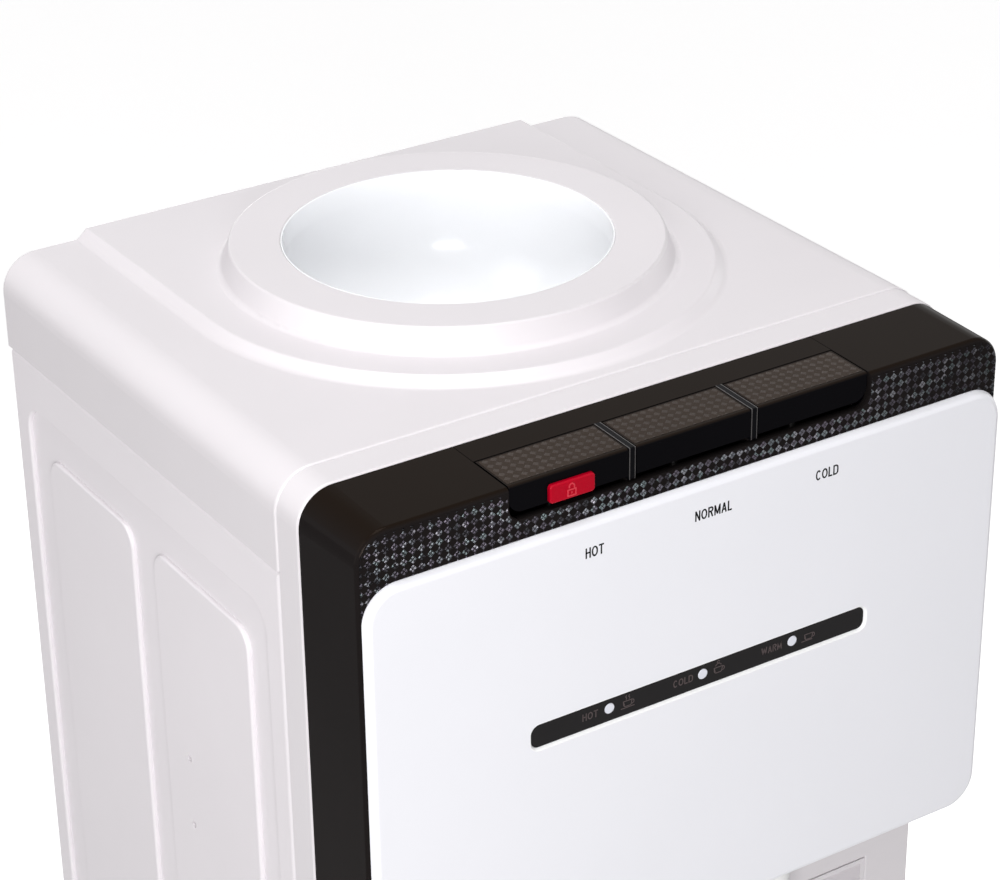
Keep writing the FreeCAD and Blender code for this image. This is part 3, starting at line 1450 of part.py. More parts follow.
os.makedirs("parts", exist_ok=True)
make_top_cover()
make_bottle_bowl()
make_front_frame()
make_head_surround()
make_front_panel()
make_indicator()
make_button_block()
make_lock_tab()
for water, button_edge, button_x in zip(water_names, button_edges, button_centres):
    make_button(water, button_edge)
    make_tap(water, button_x)
make_shelves()
make_cold_tank()
make_insulation()
make_hot_tank()
make_drain()
make_hoses()
make_side_panel("right", 1)
make_side_panel("left", -1)
make_rear_panel()
make_plinth()
make_alcove()
make_tray()
make_cabinet()
make_door()
make_compressor()
make_pipes()
make_condenser()
make_switches()
make_gland()
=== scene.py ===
import json
import math

import bmesh
import bpy
from mathutils import Euler, Matrix, Vector
from mathutils.geometry import tessellate_polygon

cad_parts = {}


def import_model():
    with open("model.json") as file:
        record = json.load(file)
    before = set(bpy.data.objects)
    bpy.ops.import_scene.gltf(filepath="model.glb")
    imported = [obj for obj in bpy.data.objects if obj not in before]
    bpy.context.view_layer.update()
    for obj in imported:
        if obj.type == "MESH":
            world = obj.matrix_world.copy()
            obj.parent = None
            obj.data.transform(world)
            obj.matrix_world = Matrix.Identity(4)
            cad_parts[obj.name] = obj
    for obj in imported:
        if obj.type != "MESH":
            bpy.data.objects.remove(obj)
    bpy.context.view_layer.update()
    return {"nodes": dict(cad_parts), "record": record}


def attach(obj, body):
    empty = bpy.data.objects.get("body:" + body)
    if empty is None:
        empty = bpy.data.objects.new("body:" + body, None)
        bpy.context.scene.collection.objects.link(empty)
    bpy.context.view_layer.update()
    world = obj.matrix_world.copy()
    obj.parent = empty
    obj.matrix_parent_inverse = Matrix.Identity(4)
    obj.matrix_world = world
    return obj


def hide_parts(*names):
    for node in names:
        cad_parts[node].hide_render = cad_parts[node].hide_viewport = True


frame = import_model()

# Sizes are in millimetres, in the frame's own axes: -Y is the front, +X the right, Z up.
MM = 0.001

# Mesh making: distances in metres below which points merge, and edge angles in degrees.
WELD = 1e-6
NO_LENGTH = 1e-7
EDGE_ANGLE = 35.0
SOFT_EDGE_ANGLE = 60.0
HARD_EDGE_ANGLE = 30.0
FLAT_FACE_WEIGHT = 100

# A plate's edge is rows of (inset, depth), and a square one has a single row without either.
SQUARE_EDGE = ((0.0, 0.0),)

# A line that turns back on itself has no width where the sum of its two directions is shorter.
LEAST_TURN = 0.5

# The photograph's camera: place in metres, turn in degrees, lens and sensor in millimetres.
CAMERA_PLACE = (-0.60801, -0.97133, 1.48248)
CAMERA_TURN = (62.6013, 0.7398, -33.0052)
CAMERA_LENS = 107.08
SENSOR_WIDTH = 36.0

# The front panel.
PANEL_LEFT = -150.8
PANEL_RIGHT = 153.2
PANEL_LOW_Z = 736.0
PANEL_TOP_Z = 940.0
PANEL_FRONT_Y = -164.92
PANEL_REAR_Y = -161.8
PANEL_CORNER = 15.0
PANEL_CORNER_STEPS = 14
PANEL_RIM = ((3.1, 0.0), (2.75, 0.05), (2.4, 0.16), (1.5, 0.58), (1.25, 0.76), (1.05, 1.0),
             (0.12, 2.6), (0.0, 2.9))

# The checkered band above the panel, with a notch for the buttons.
CHECK_PITCH = 3.81
CHECK_COLUMN = -143.36
RELIEF_SINK = 0.04
CUTTER_REACH = 3.0
BAND_ROW = 957.9
BAND_DIAMOND = 3.7
BAND_PEAK = 0.34
BAND_EDGE_X = 150.8
BAND_TOP_Z = 960.7
BAND_CORNER = 10.5
BAND_PANEL_GAP = 0.15
BAND_PANEL_STEPS = 12
NOTCH_LEFT = -86.9
NOTCH_RIGHT = 85.3
NOTCH_FLOOR = 948.0
NOTCH_CORNER = 5.8

# The head surround's top slopes down to the front, and the buttons follow it.
SURROUND_Y = -161.8
SLOPE_FRONT_Z = 962.9
SLOPE_REAR_Z = 963.7
SLOPE_REAR_Y = -122.7

# The embossed button tops.
BUTTON_WIDTH = 53.8
BUTTON_CENTRES = {"hot": -58.6, "normal": -0.8, "cold": 57.0}
PAD_FRONT_Y = -158.3
PAD_REAR_Y = -138.4
PAD_SIDE_GAP = 0.8
PAD_CORNER = 0.6
PAD_BASE = 0.06
PAD_ROW = -139.8
PAD_COLUMN = 54.6
PAD_DIAMOND = 3.7
PAD_PEAK = 0.16
PAD_FLAT_SHARE = 0.62

# The glossy ribs between the buttons, each with two raised beads in a lighter colour: painted
# glints along its edges.
RIB_SIDES = ((-31.36, -28.04), (26.44, 29.76))
RIB_FRONT_Y = -160.5
RIB_REAR_Y = -137.0
RIB_LOW_Z = 949.5
RIB_EDGE = 0.55
RIB_EDGE_STEPS = 4
RIB_PROUD = 0.06
RIB_GLINT = 0.42
RIB_GLINT_EDGE = RIB_GLINT / 3.0
RIB_GLINT_PROUD = 0.05

# The bottle seat's bowl, turned about the ring's centre.
BOWL_Y = 17.3
BOWL_RIM = 71.02
BOWL_TOP_Z = 980.05
BOWL_EDGE = 0.25
BOWL_WALL = 70.3
BOWL_LIP = 0.3
BOWL_SIDE_Z = 971.0
BOWL_FLOOR_Z = 908.0
BOWL_NECK = 21.6
BOWL_NECK_Z = 860.2
BOWL_SHELL = 2.4
BOWL_SAG = 11.7
BOWL_ARC_STEPS = 40
BOWL_TURN_STEPS = 160

# The indicator strip in the panel, with a lamp beside each word.
LENS_LEFT = -79.0
LENS_RIGHT = 85.3
LENS_LOW_Z = 847.05
LENS_HIGH_Z = 857.3
LENS_CORNER = 3.4
LENS_GAP = 0.1
LENS_RIM = ((0.9, 0.0), (0.82, 0.03), (0.06, 0.97), (0.0, 1.12))
LENS_RIM_WIDTH = 1.1
LENS_FRONT_Y = -163.8
LAMP_RADIUS = 2.3
LAMP_CENTRES = (-42.05, 3.25, 48.25)
LAMP_FRONT_Y = -163.95
LAMP_EDGE = 0.3
LAMP_EDGE_STEPS = 3

# Printed words, each with the x of its middle and its width.
PANEL_WORDS = (("HOT", -50.0, 8.45), ("NORMAL", 5.95, 17.7), ("COLD", 61.95, 11.35))
PANEL_WORD_Z = 926.7
PANEL_WORD_HEIGHT = 4.5
LENS_WORDS = (("HOT", -51.25, 7.4), ("COLD", -6.45, 9.7), ("WARM", 37.75, 10.4))
LENS_MARK_Z = 852.8
LENS_WORD_HEIGHT = 3.3
MARK_LIFT = 0.04

# Plain capitals, in shares of a letter's height, and of its width where the name says so.
STEM_SHARE = 0.15
SPACE_SHARE = 0.1
WIDTH_SHARES = {"H": 0.56, "O": 0.66, "T": 0.54, "N": 0.56, "R": 0.58, "M": 0.68, "A": 0.60,
                "L": 0.46, "C": 0.60, "D": 0.60, "W": 0.86}
H_BAR_SHARE = 0.53
SLANT_SHARES = (0.96, 0.04)
M_DIP_SHARE = 0.10
A_TIP_SHARE = 0.97
A_BAR_SHARE = 0.32
A_BAR_WIDTH_SHARES = (0.28, 0.72)
W_FOOT_SHARE = 0.03
W_PEAK_SHARE = 0.95
W_FOOT_WIDTH_SHARES = (0.27, 0.73)
D_BOW_SHARE = 0.26
R_BOW_SHARE = 0.2
R_WAIST_SHARE = 0.54
O_TURN = (0.0, 342.0)
C_TURN = (42.0, 318.0)
OVAL_STEPS = 20

# Cups in lines, in units of CUP_SCALE about their middle; arcs are (u, v, radius) and degrees.
CUP_CENTRES = {"hot": -33.35, "cold": 10.95, "warm": 56.75}
CUP_SCALE = 1.22
CUP_STROKE = 0.4
CUP_RIM = (1.7, 0.5)
CUP_WALL_FOOT = (-1.45, -0.9)
CUP_CORNER = (0.85, -0.9, 0.6)
CUP_CORNER_STEPS = 4
CUP_HANDLE = (1.75, -0.35, 0.75)
CUP_HANDLE_TURN = (75.0, -95.0)
CUP_HANDLE_STEPS = 6
SAUCER = ((-2.7, -2.0), (2.7, -2.0))
STEAM_PLACES = (-0.7, 0.5)
STEAM_WAVE = ((0.0, 1.0), (0.3, 1.5), (-0.1, 2.0), (0.2, 2.6))
COVER = (0.0, 0.6, 1.3)
COVER_TURN = (25.0, 155.0)
COVER_STEPS = 8
KNOB = (0.0, 2.5, 0.45)
KNOB_TURN = (0.0, 330.0)
KNOB_STEPS = 10
TABLE_LINE = ((-3.0, -1.9), (1.6, -1.9))

# The lock tab and its padlock.
TAB_LEFT = -68.45
TAB_RIGHT = -47.95
TAB_LOW_Z = 951.0
TAB_TOP_Z = 958.8
TAB_FRONT_Y = -162.5
TAB_BACK_Y = -160.55
TAB_CORNER = 1.5
TAB_EDGE = 0.8
LOCK_X = -58.9
LOCK_LOW_Z = 952.5
LOCK_LIFT = 0.3
LOCK_STROKE = 0.55
LOCK_BODY = (3.6, 2.5)
LOCK_SHACKLE = (1.15, 1.0)
LOCK_OPEN_END = 0.5
LOCK_KEYHOLE = (0.8, 1.6)


# Mesh making.

class Shell:
    """Points in millimetres and faces, which become one mesh object."""

    def __init__(self):
        self.points = []
        self.faces = []

    def loop(self, points):
        """Adds points and gives their indices."""
        first = len(self.points)
        self.points.extend(tuple(point) for point in points)
        return list(range(first, len(self.points)))

    def strip(self, low, high):
        """Joins two closed loops with a ring of faces."""
        count = len(low)
        for i in range(count):
            j = (i + 1) % count
            self.faces.append((low[i], low[j], high[j], high[i]))

    def loft(self, rows):
        """Joins closed rows of points one after the other."""
        loops = [self.loop(row) for row in rows]
        for low, high in zip(loops, loops[1:]):
            self.strip(low, high)
        return loops

    def fill(self, loops):
        """Closes a flat face with its holes."""
        flat = [index for loop in loops for index in loop]
        rings = [[Vector(self.points[index]) for index in loop] for loop in loops]
        for triangle in tessellate_polygon(rings):
            self.faces.append(tuple(flat[corner] for corner in triangle))

    def mesh(self, name):
        """The clean mesh, in metres."""
        data = bpy.data.meshes.new(name)
        data.from_pydata([Vector(point) * MM for point in self.points], [], self.faces)
        work = bmesh.new()
        work.from_mesh(data)
        bmesh.ops.remove_doubles(work, verts=work.verts, dist=WELD)
        bmesh.ops.dissolve_degenerate(work, edges=work.edges, dist=NO_LENGTH)
        bmesh.ops.recalc_face_normals(work, faces=work.faces)
        work.to_mesh(data)
        work.free()
        return data


def link(name, data):
    """A new object in the scene."""
    obj = bpy.data.objects.new(name, data)
    bpy.context.scene.collection.objects.link(obj)
    return obj


def smooth(obj, angle):
    """Smooth shading that keeps edges sharper than the angle and flat faces flat."""
    obj.data.shade_smooth()
    obj.data.set_sharp_from_angle(angle=math.radians(angle))
    modifier = obj.modifiers.new("flat_faces", "WEIGHTED_NORMAL")
    modifier.keep_sharp = True
    modifier.weight = FLAT_FACE_WEIGHT


def dress(obj, look, body):
    """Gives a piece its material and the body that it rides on."""
    obj.data.materials.clear()
    obj.data.materials.append(materials[look])
    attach(obj, body)


def add(name, shell, look, body, replaced=None, angle=EDGE_ANGLE):
    """Makes one piece; an angle of 0 leaves its faces flat."""
    piece = link(name, shell.mesh(name))
    if angle:
        smooth(piece, angle)
    dress(piece, look, body)
    if replaced:
        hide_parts(replaced)


def keep_inside(target, tool):
    """Keeps what lies inside the tool, and throws the tool away."""
    modifier = target.modifiers.new("cut", "BOOLEAN")
    modifier.operation = "INTERSECT"
    modifier.solver = "EXACT"
    modifier.object = tool
    bpy.context.view_layer.update()
    result = bpy.data.meshes.new_from_object(
        target.evaluated_get(bpy.context.evaluated_depsgraph_get()))
    target.modifiers.clear()
    target.data = result
    bpy.data.objects.remove(tool)


def rounded(corners, steps=8):
    """Points (u, v, normal u, normal v) round a polygon of (u, v, radius) corners.

    The corners run counter-clockwise.
    """
    result = []
    count = len(corners)
    for i, (u, v, radius) in enumerate(corners):
        here = Vector((u, v))
        before = (here - Vector(corners[i - 1][:2])).normalized()
        after = (Vector(corners[(i + 1) % count][:2]) - here).normalized()
        normal_in = Vector((before.y, -before.x))
        normal_out = Vector((after.y, -after.x))
        if radius <= 0.0:
            mitre = (normal_in + normal_out) / (1.0 + normal_in.dot(normal_out))
            result.append((u, v, mitre.x, mitre.y))
            continue
        turn = math.atan2(before.cross(after), before.dot(after))
        side = 1.0 if turn > 0.0 else -1.0
        reach = radius * math.tan(abs(turn) / 2.0)
        centre = here - before * reach - normal_in * radius * side
        for step in range(steps + 1):
            normal = normal_in.copy()
            normal.rotate(Matrix.Rotation(turn * step / steps, 2))
            point = centre + normal * radius * side
            result.append((point.x, point.y, normal.x, normal.y))
    return result


def box_outline(left, low, right, high, radius, steps=8):
    """A rectangle with round corners."""
    return rounded([(left, low, radius), (right, low, radius),
                    (right, high, radius), (left, high, radius)], steps)


def circle(u, v, radius, steps=32):
    """A circle's points with their normals, as rounded gives them."""
    angles = [2.0 * math.pi * step / steps for step in range(steps)]
    return [(u + radius * math.cos(a), v + radius * math.sin(a), math.cos(a), math.sin(a))
            for a in angles]


def offset(outline, distance):
    """An outline's points, moved outwards along their normals."""
    return [(u + nu * distance, v + nv * distance) for u, v, nu, nv in outline]


def arc(u, v, radius, start, end, steps=12):
    """Points of an arc between two angles in degrees."""
    turns = [math.radians(start + (end - start) * step / steps) for step in range(steps + 1)]
    return [(u + radius * math.cos(turn), v + radius * math.sin(turn)) for turn in turns]


def round_edge(size, steps=6):
    """A quarter circle as (inset, depth) rows, from the face outwards."""
    angles = [math.pi / 2.0 * step / steps for step in range(steps + 1)]
    return [(size * (1.0 - math.sin(angle)), size * (1.0 - math.cos(angle))) for angle in angles]


def plate(shell, outline, holes, front, back, place, edge=SQUARE_EDGE, hole_edge=SQUARE_EDGE):
    """A plate with shaped front edges, as rows of (inset, depth); place maps (u, v, level)."""
    inward = 1.0 if back > front else -1.0

    def rows(loop, side, profile):
        levels = [(inset, front + inward * depth) for inset, depth in profile] + [(0.0, back)]
        return shell.loft([[place(u, v, level) for u, v in offset(loop, side * shift)]
                           for shift, level in levels])

    outer = rows(outline, -1.0, edge)
    inner = [rows(hole, 1.0, hole_edge) for hole in holes]
    shell.fill([outer[0]] + [rings[0] for rings in inner])
    shell.fill([outer[-1]] + [rings[-1] for rings in inner])


def stroke(shell, path, width, front, back, closed=False):
    """A line of even width along (x, z) points, standing on a front face."""
    count = len(path)
    sides = []
    for i, point in enumerate(path):
        here = Vector(point)
        ahead = Vector(path[(i + 1) % count]) if closed or i < count - 1 else None
        behind = Vector(path[i - 1]) if closed or i > 0 else None
        inward = (here - behind).normalized() if behind else (ahead - here).normalized()
        outward = (ahead - here).normalized() if ahead else inward
        across = Vector((-inward.y - outward.y, inward.x + outward.x))
        across *= width / across.length_squared if across.length > LEAST_TURN else 0.0
        sides.append((here + across, here - across))
    left = [(p.x, p.y) for p, q in sides]
    right = [(q.x, q.y) for p, q in sides]
    if closed:
        levels = ((left, front), (right, front), (right, back), (left, back))
        loops = [shell.loop((x, level, z) for x, z in side) for side, level in levels]
        for low, high in zip(loops, loops[1:] + loops[:1]):
            shell.strip(low, high)
        return
    outline = left + right[::-1]
    face, rear = shell.loft([[(x, level, z) for x, z in outline] for level in (front, back)])
    shell.fill([face])
    shell.fill([rear])


# Materials. Every one is made of nodes, with texture coordinates in metres.

DRIFT_SCALE = 9.0
DRIFT_DETAIL = 4.0
DRIFT_SPAN = (0.3, 0.7)
GRAIN_DETAIL = 3.0
GRAIN_DEPTH = 0.0004
LEAST_ROUGHNESS = 0.02

# Upward black faces above this height take a warmer colour, a painted reflection, more so the
# flatter they lie.
PAINTED_REFLECTION_ABOVE_Z = 956.0
PAINTED_REFLECTION_FACING = (0.35, 0.95)

# The band's small cells, which darken towards its ends as painted shade.
CELL_SCALE = 330.0
CELL_COLOURS = ((0.025, 0.025, 0.028), (0.06, 0.054, 0.066), (0.10, 0.088, 0.11),
                (0.11, 0.135, 0.14), (0.25, 0.24, 0.27))
PAINTED_SHADE_FROM_X = 60.0
PAINTED_SHADE_SHARE = 0.3


def material(name, colour, roughness=0.4, metallic=0.0, grain=1500.0, bump=0.02, mottle=0.04,
             rough_spread=0.06, stretch=(1.0, 1.0, 1.0), upper=None, **sockets):
    """Moulded or painted surface: slow colour drift, varied roughness and a fine relief."""
    made = bpy.data.materials.new(name)
    made.use_nodes = True
    nodes = made.node_tree.nodes
    links = made.node_tree.links
    shader = nodes["Principled BSDF"]
    place = nodes.new("ShaderNodeTexCoord")
    mapping = nodes.new("ShaderNodeMapping")
    mapping.inputs["Scale"].default_value = stretch
    links.new(place.outputs["Object"], mapping.inputs["Vector"])

    drift = nodes.new("ShaderNodeTexNoise")
    drift.inputs["Scale"].default_value = DRIFT_SCALE
    drift.inputs["Detail"].default_value = DRIFT_DETAIL
    links.new(mapping.outputs["Vector"], drift.inputs["Vector"])
    ramp = nodes.new("ShaderNodeValToRGB")
    for element, share in zip(ramp.color_ramp.elements, (1.0 - mottle, 1.0)):
        element.color = [min(1.0, c * share) for c in colour] + [1.0]
    for element, position in zip(ramp.color_ramp.elements, DRIFT_SPAN):
        element.position = position
    links.new(drift.outputs["Fac"], ramp.inputs["Fac"])
    links.new(ramp.outputs["Color"], shader.inputs["Base Color"])
    # Painted reflection: upward faces take a warmer colour.
    if upper:
        paint_reflection_on_upper_faces(made, place, ramp.outputs["Color"], upper)

    fine = nodes.new("ShaderNodeTexNoise")
    fine.inputs["Scale"].default_value = grain
    fine.inputs["Detail"].default_value = GRAIN_DETAIL
    links.new(mapping.outputs["Vector"], fine.inputs["Vector"])
    spread = nodes.new("ShaderNodeMapRange")
    spread.inputs["To Min"].default_value = max(LEAST_ROUGHNESS, roughness - rough_spread)
    spread.inputs["To Max"].default_value = min(1.0, roughness + rough_spread)
    links.new(fine.outputs["Fac"], spread.inputs["Value"])
    links.new(spread.outputs["Result"], shader.inputs["Roughness"])
    relief = nodes.new("ShaderNodeBump")
    relief.inputs["Strength"].default_value = bump
    relief.inputs["Distance"].default_value = GRAIN_DEPTH
    links.new(fine.outputs["Fac"], relief.inputs["Height"])
    links.new(relief.outputs["Normal"], shader.inputs["Normal"])

    shader.inputs["Metallic"].default_value = metallic
    for socket, value in sockets.items():
        shader.inputs[socket.replace("_", " ")].default_value = value
    return made


def paint_reflection_on_upper_faces(made, place, below, colour):
    """Upward faces take a warmer colour, which is a painted reflection of warm light."""
    nodes = made.node_tree.nodes
    links = made.node_tree.links
    split = nodes.new("ShaderNodeSeparateXYZ")
    links.new(place.outputs["Normal"], split.inputs["Vector"])
    share = nodes.new("ShaderNodeMapRange")
    share.inputs["From Min"].default_value = PAINTED_REFLECTION_FACING[0]
    share.inputs["From Max"].default_value = PAINTED_REFLECTION_FACING[1]
    links.new(split.outputs["Z"], share.inputs["Value"])
    height = nodes.new("ShaderNodeSeparateXYZ")
    links.new(place.outputs["Object"], height.inputs["Vector"])
    above = nodes.new("ShaderNodeMath")
    above.operation = "GREATER_THAN"
    above.inputs[1].default_value = PAINTED_REFLECTION_ABOVE_Z * MM
    links.new(height.outputs["Z"], above.inputs[0])
    painted_reflection_share = nodes.new("ShaderNodeMath")
    painted_reflection_share.operation = "MULTIPLY"
    links.new(share.outputs["Result"], painted_reflection_share.inputs[0])
    links.new(above.outputs["Value"], painted_reflection_share.inputs[1])
    mix = nodes.new("ShaderNodeMixRGB")
    mix.inputs["Color2"].default_value = (*colour, 1.0)
    links.new(painted_reflection_share.outputs["Value"], mix.inputs["Fac"])
    links.new(below, mix.inputs["Color1"])
    links.new(mix.outputs["Color"], nodes["Principled BSDF"].inputs["Base Color"])


def speckle(made):
    """Small cells, each with a colour of its own, replace the material's slow drift."""
    nodes = made.node_tree.nodes
    links = made.node_tree.links
    place = nodes.new("ShaderNodeTexCoord")
    cells = nodes.new("ShaderNodeTexVoronoi")
    cells.inputs["Scale"].default_value = CELL_SCALE
    links.new(place.outputs["Object"], cells.inputs["Vector"])
    split = nodes.new("ShaderNodeSeparateColor")
    links.new(cells.outputs["Color"], split.inputs["Color"])
    ramp = nodes.new("ShaderNodeValToRGB")
    elements = ramp.color_ramp.elements
    while len(elements) < len(CELL_COLOURS):
        elements.new(0.5)  # moved to its own position below
    for number, colour in enumerate(CELL_COLOURS):
        elements[number].position = number / (len(CELL_COLOURS) - 1)
        elements[number].color = (*colour, 1.0)
    links.new(split.outputs["Red"], ramp.inputs["Fac"])
    # Painted shade: the cells darken from the middle towards the band's ends.
    along = nodes.new("ShaderNodeSeparateXYZ")
    links.new(place.outputs["Object"], along.inputs["Vector"])
    reach = nodes.new("ShaderNodeMath")
    reach.operation = "ABSOLUTE"
    links.new(along.outputs["X"], reach.inputs[0])
    painted_shade = nodes.new("ShaderNodeMapRange")
    painted_shade.inputs["From Min"].default_value = PAINTED_SHADE_FROM_X * MM
    painted_shade.inputs["From Max"].default_value = BAND_EDGE_X * MM
    painted_shade.inputs["To Min"].default_value = 1.0
    painted_shade.inputs["To Max"].default_value = PAINTED_SHADE_SHARE
    links.new(reach.outputs["Value"], painted_shade.inputs["Value"])
    dim = nodes.new("ShaderNodeVectorMath")
    dim.operation = "SCALE"
    links.new(ramp.outputs["Color"], dim.inputs[0])
    links.new(painted_shade.outputs["Result"], dim.inputs["Scale"])
    links.new(dim.outputs["Vector"], nodes["Principled BSDF"].inputs["Base Color"])


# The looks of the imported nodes, by material slot.
SLOT_LOOKS = {
    "white_plastic": dict(colour=(0.705, 0.674, 0.697), roughness=0.34, grain=2600.0, bump=0.06),
    "bowl_plastic": dict(colour=(0.92, 0.93, 0.95), roughness=0.15, grain=300.0, bump=0.01,
                         rough_spread=0.03, mottle=0.02),
    "panel_white": dict(colour=(0.815, 0.815, 0.855), roughness=0.36, grain=3000.0, bump=0.05,
                        mottle=0.02),
    "side_paint": dict(colour=(0.765, 0.730, 0.757), roughness=0.4, grain=700.0, bump=0.05),
    "rear_paint": dict(colour=(0.45, 0.46, 0.48), roughness=0.45, grain=700.0, bump=0.06),
    # On both black looks, the warm colour given for upward faces is a painted reflection.
    "black_gloss": dict(colour=(0.012, 0.010, 0.010), roughness=0.1, grain=500.0, bump=0.01,
                        rough_spread=0.03, mottle=0.3, upper=(0.009, 0.0055, 0.0035),
                        Specular_IOR_Level=0.028, Specular_Tint=(1.0, 0.8, 0.66, 1.0)),
    "button_black": dict(colour=(0.003, 0.003, 0.004), roughness=0.12, grain=900.0, bump=0.02,
                         rough_spread=0.04, mottle=0.15, upper=(0.014, 0.0095, 0.007),
                         Specular_IOR_Level=0.03, Specular_Tint=(1.0, 0.8, 0.66, 1.0)),
    "red_plastic": dict(colour=(0.43, 0.0003, 0.014), roughness=0.25, grain=1500.0, bump=0.04,
                        mottle=0.2, Specular_IOR_Level=0.12),
    "lens_dark": dict(colour=(0.010, 0.009, 0.0095), roughness=0.2, grain=400.0, bump=0.01,
                      rough_spread=0.03, Specular_IOR_Level=0.2),
    "lamp_white": dict(colour=(0.72, 0.73, 0.80), roughness=0.3, grain=2500.0, bump=0.05),
    "board_green": dict(colour=(0.02, 0.12, 0.05), roughness=0.4, grain=1200.0, bump=0.1),
    "tray_grey": dict(colour=(0.30, 0.30, 0.31), roughness=0.42, grain=2400.0, bump=0.1),
    "black_rubber": dict(colour=(0.022, 0.022, 0.022), roughness=0.75, grain=1800.0, bump=0.2),
    "zinc_steel": dict(colour=(0.62, 0.63, 0.64), roughness=0.35, metallic=1.0, grain=900.0,
                       bump=0.08, mottle=0.25),
    "stainless": dict(colour=(0.72, 0.71, 0.70), roughness=0.24, metallic=1.0, grain=400.0,
                      bump=0.06, stretch=(1.0, 1.0, 14.0)),
    "copper": dict(colour=(0.80, 0.40, 0.24), roughness=0.3, metallic=1.0, grain=500.0,
                   bump=0.05, mottle=0.3),
    "foam": dict(colour=(0.70, 0.60, 0.38), roughness=0.9, grain=500.0, bump=0.6, mottle=0.25),
    "silicone": dict(colour=(0.78, 0.77, 0.74), roughness=0.45, grain=900.0, bump=0.05,
                     Subsurface_Weight=0.2, Subsurface_Scale=0.004),
    "compressor_black": dict(colour=(0.020, 0.020, 0.021), roughness=0.38, grain=600.0,
                             bump=0.15, mottle=0.3),
    "condenser_black": dict(colour=(0.018, 0.018, 0.019), roughness=0.5, grain=900.0, bump=0.2,
                            mottle=0.3),
    "switch_black": dict(colour=(0.02, 0.02, 0.02), roughness=0.4, grain=2400.0, bump=0.1),
    "switch_red": dict(colour=(0.55, 0.01, 0.01), roughness=0.28, grain=1500.0, bump=0.03),
    "switch_green": dict(colour=(0.02, 0.35, 0.08), roughness=0.28, grain=1500.0, bump=0.03),
    "tap_white": dict(colour=(0.78, 0.78, 0.78), roughness=0.3, grain=1800.0, bump=0.04),
}

# The looks of the pieces made here, where a slot's own look isn't used.
PIECE_LOOKS = {
    "band_silver": dict(colour=(0.30, 0.30, 0.33), roughness=0.25, metallic=1.0, grain=600.0,
                        bump=0.25),
    # The button tops' warm brown is a painted reflection on the black plastic.
    "button_top_painted_reflection": dict(colour=(0.028, 0.018, 0.012), roughness=0.45, grain=2400.0, bump=0.3,
                       mottle=0.2, Specular_IOR_Level=0.08),
    # The diamonds' lighter colour is painted glints.
    "button_pip_painted_glint": dict(colour=(0.052, 0.038, 0.031), roughness=0.4, grain=2400.0, bump=0.3,
                       mottle=0.55, Specular_IOR_Level=0.12),
    "rib_black": dict(colour=(0.004, 0.004, 0.005), roughness=0.1, grain=900.0, bump=0.01,
                      Specular_IOR_Level=0.04),
    # The window rim's brighter white is a painted highlight.
    "rim_painted_highlight": dict(colour=(0.96, 0.96, 0.97), roughness=0.2, bump=0.01),
    # The rib beads' lighter colour is painted glints.
    "rib_painted_glint": dict(colour=(0.060, 0.055, 0.055), roughness=0.3, grain=900.0, bump=0.01),
    # The padlock's lighter red is a painted highlight.
    "red_painted_highlight": dict(colour=(0.60, 0.03, 0.05), roughness=0.25, grain=1500.0, bump=0.02),
    "print_grey": dict(colour=(0.010, 0.010, 0.011), roughness=0.5, Specular_IOR_Level=0.1),
    "print_dim": dict(colour=(0.062, 0.044, 0.044), roughness=0.5),
}
materials = {slot: material(slot + "_look", **look) for slot, look in SLOT_LOOKS.items()}
materials.update({name: material(name, **look) for name, look in PIECE_LOOKS.items()})
speckle(materials["band_silver"])

slots = {row["node"]: row["material_slot"] for row in frame["record"]["subparts"]}
for node, obj in frame["nodes"].items():
    obj.data.materials.clear()
    obj.data.materials.append(materials[slots[node]])


# Places on the object: each takes (u, v, level), the level being outwards from a face or a depth.

def facing_front(u, v, level):
    """An upright face, with the level as its y."""
    return (u, level, v)


def on_band(u, v, level):
    """The surround's front, with the level forwards from it."""
    return (u, SURROUND_Y - level, v)


def slope_z(y):
    """The height of the surround's sloping top."""
    share = (y - SURROUND_Y) / (SLOPE_REAR_Y - SURROUND_Y)
    return SLOPE_FRONT_Z + (SLOPE_REAR_Z - SLOPE_FRONT_Z) * share


def on_slope(u, v, level):
    """The surround's top, with the level upwards from it."""
    return (u, v, slope_z(v) + level)


def along_slope(u, v, level):
    """A front-facing plate whose upper side follows the surround's slope."""
    return (u, level, v + slope_z(level) - slope_z(RIB_FRONT_Y))


# The checkered band and the button tops.

def diamond(pyramids, u, v, half, peak, place):
    """One faceted diamond: four small pyramids side by side on a closed base."""
    quarter = half / 2.0
    corners = ((-quarter, 0.0), (0.0, -quarter), (quarter, 0.0), (0.0, quarter))
    for du, dv in ((-quarter, 0.0), (quarter, 0.0), (0.0, -quarter), (0.0, quarter)):
        base = pyramids.loop(place(u + du + su, v + dv + sv, -RELIEF_SINK) for su, sv in corners)
        tip = pyramids.loop([place(u + du, v + dv, peak)])[0]
        pyramids.faces.append(tuple(base))
        for i in range(4):
            pyramids.faces.append((base[i], base[(i + 1) % 4], tip))


def tile(pyramids, u, v, half, peak, place):
    """One flat-topped diamond with sloping sides."""
    corners = ((-half, 0.0), (0.0, -half), (half, 0.0), (0.0, half))
    flat = PAD_FLAT_SHARE
    base = pyramids.loop(place(u + du, v + dv, -RELIEF_SINK) for du, dv in corners)
    top = pyramids.loop(place(u + du * flat, v + dv * flat, peak) for du, dv in corners)
    pyramids.faces.append(tuple(base))
    pyramids.faces.append(tuple(top))
    pyramids.strip(base, top)


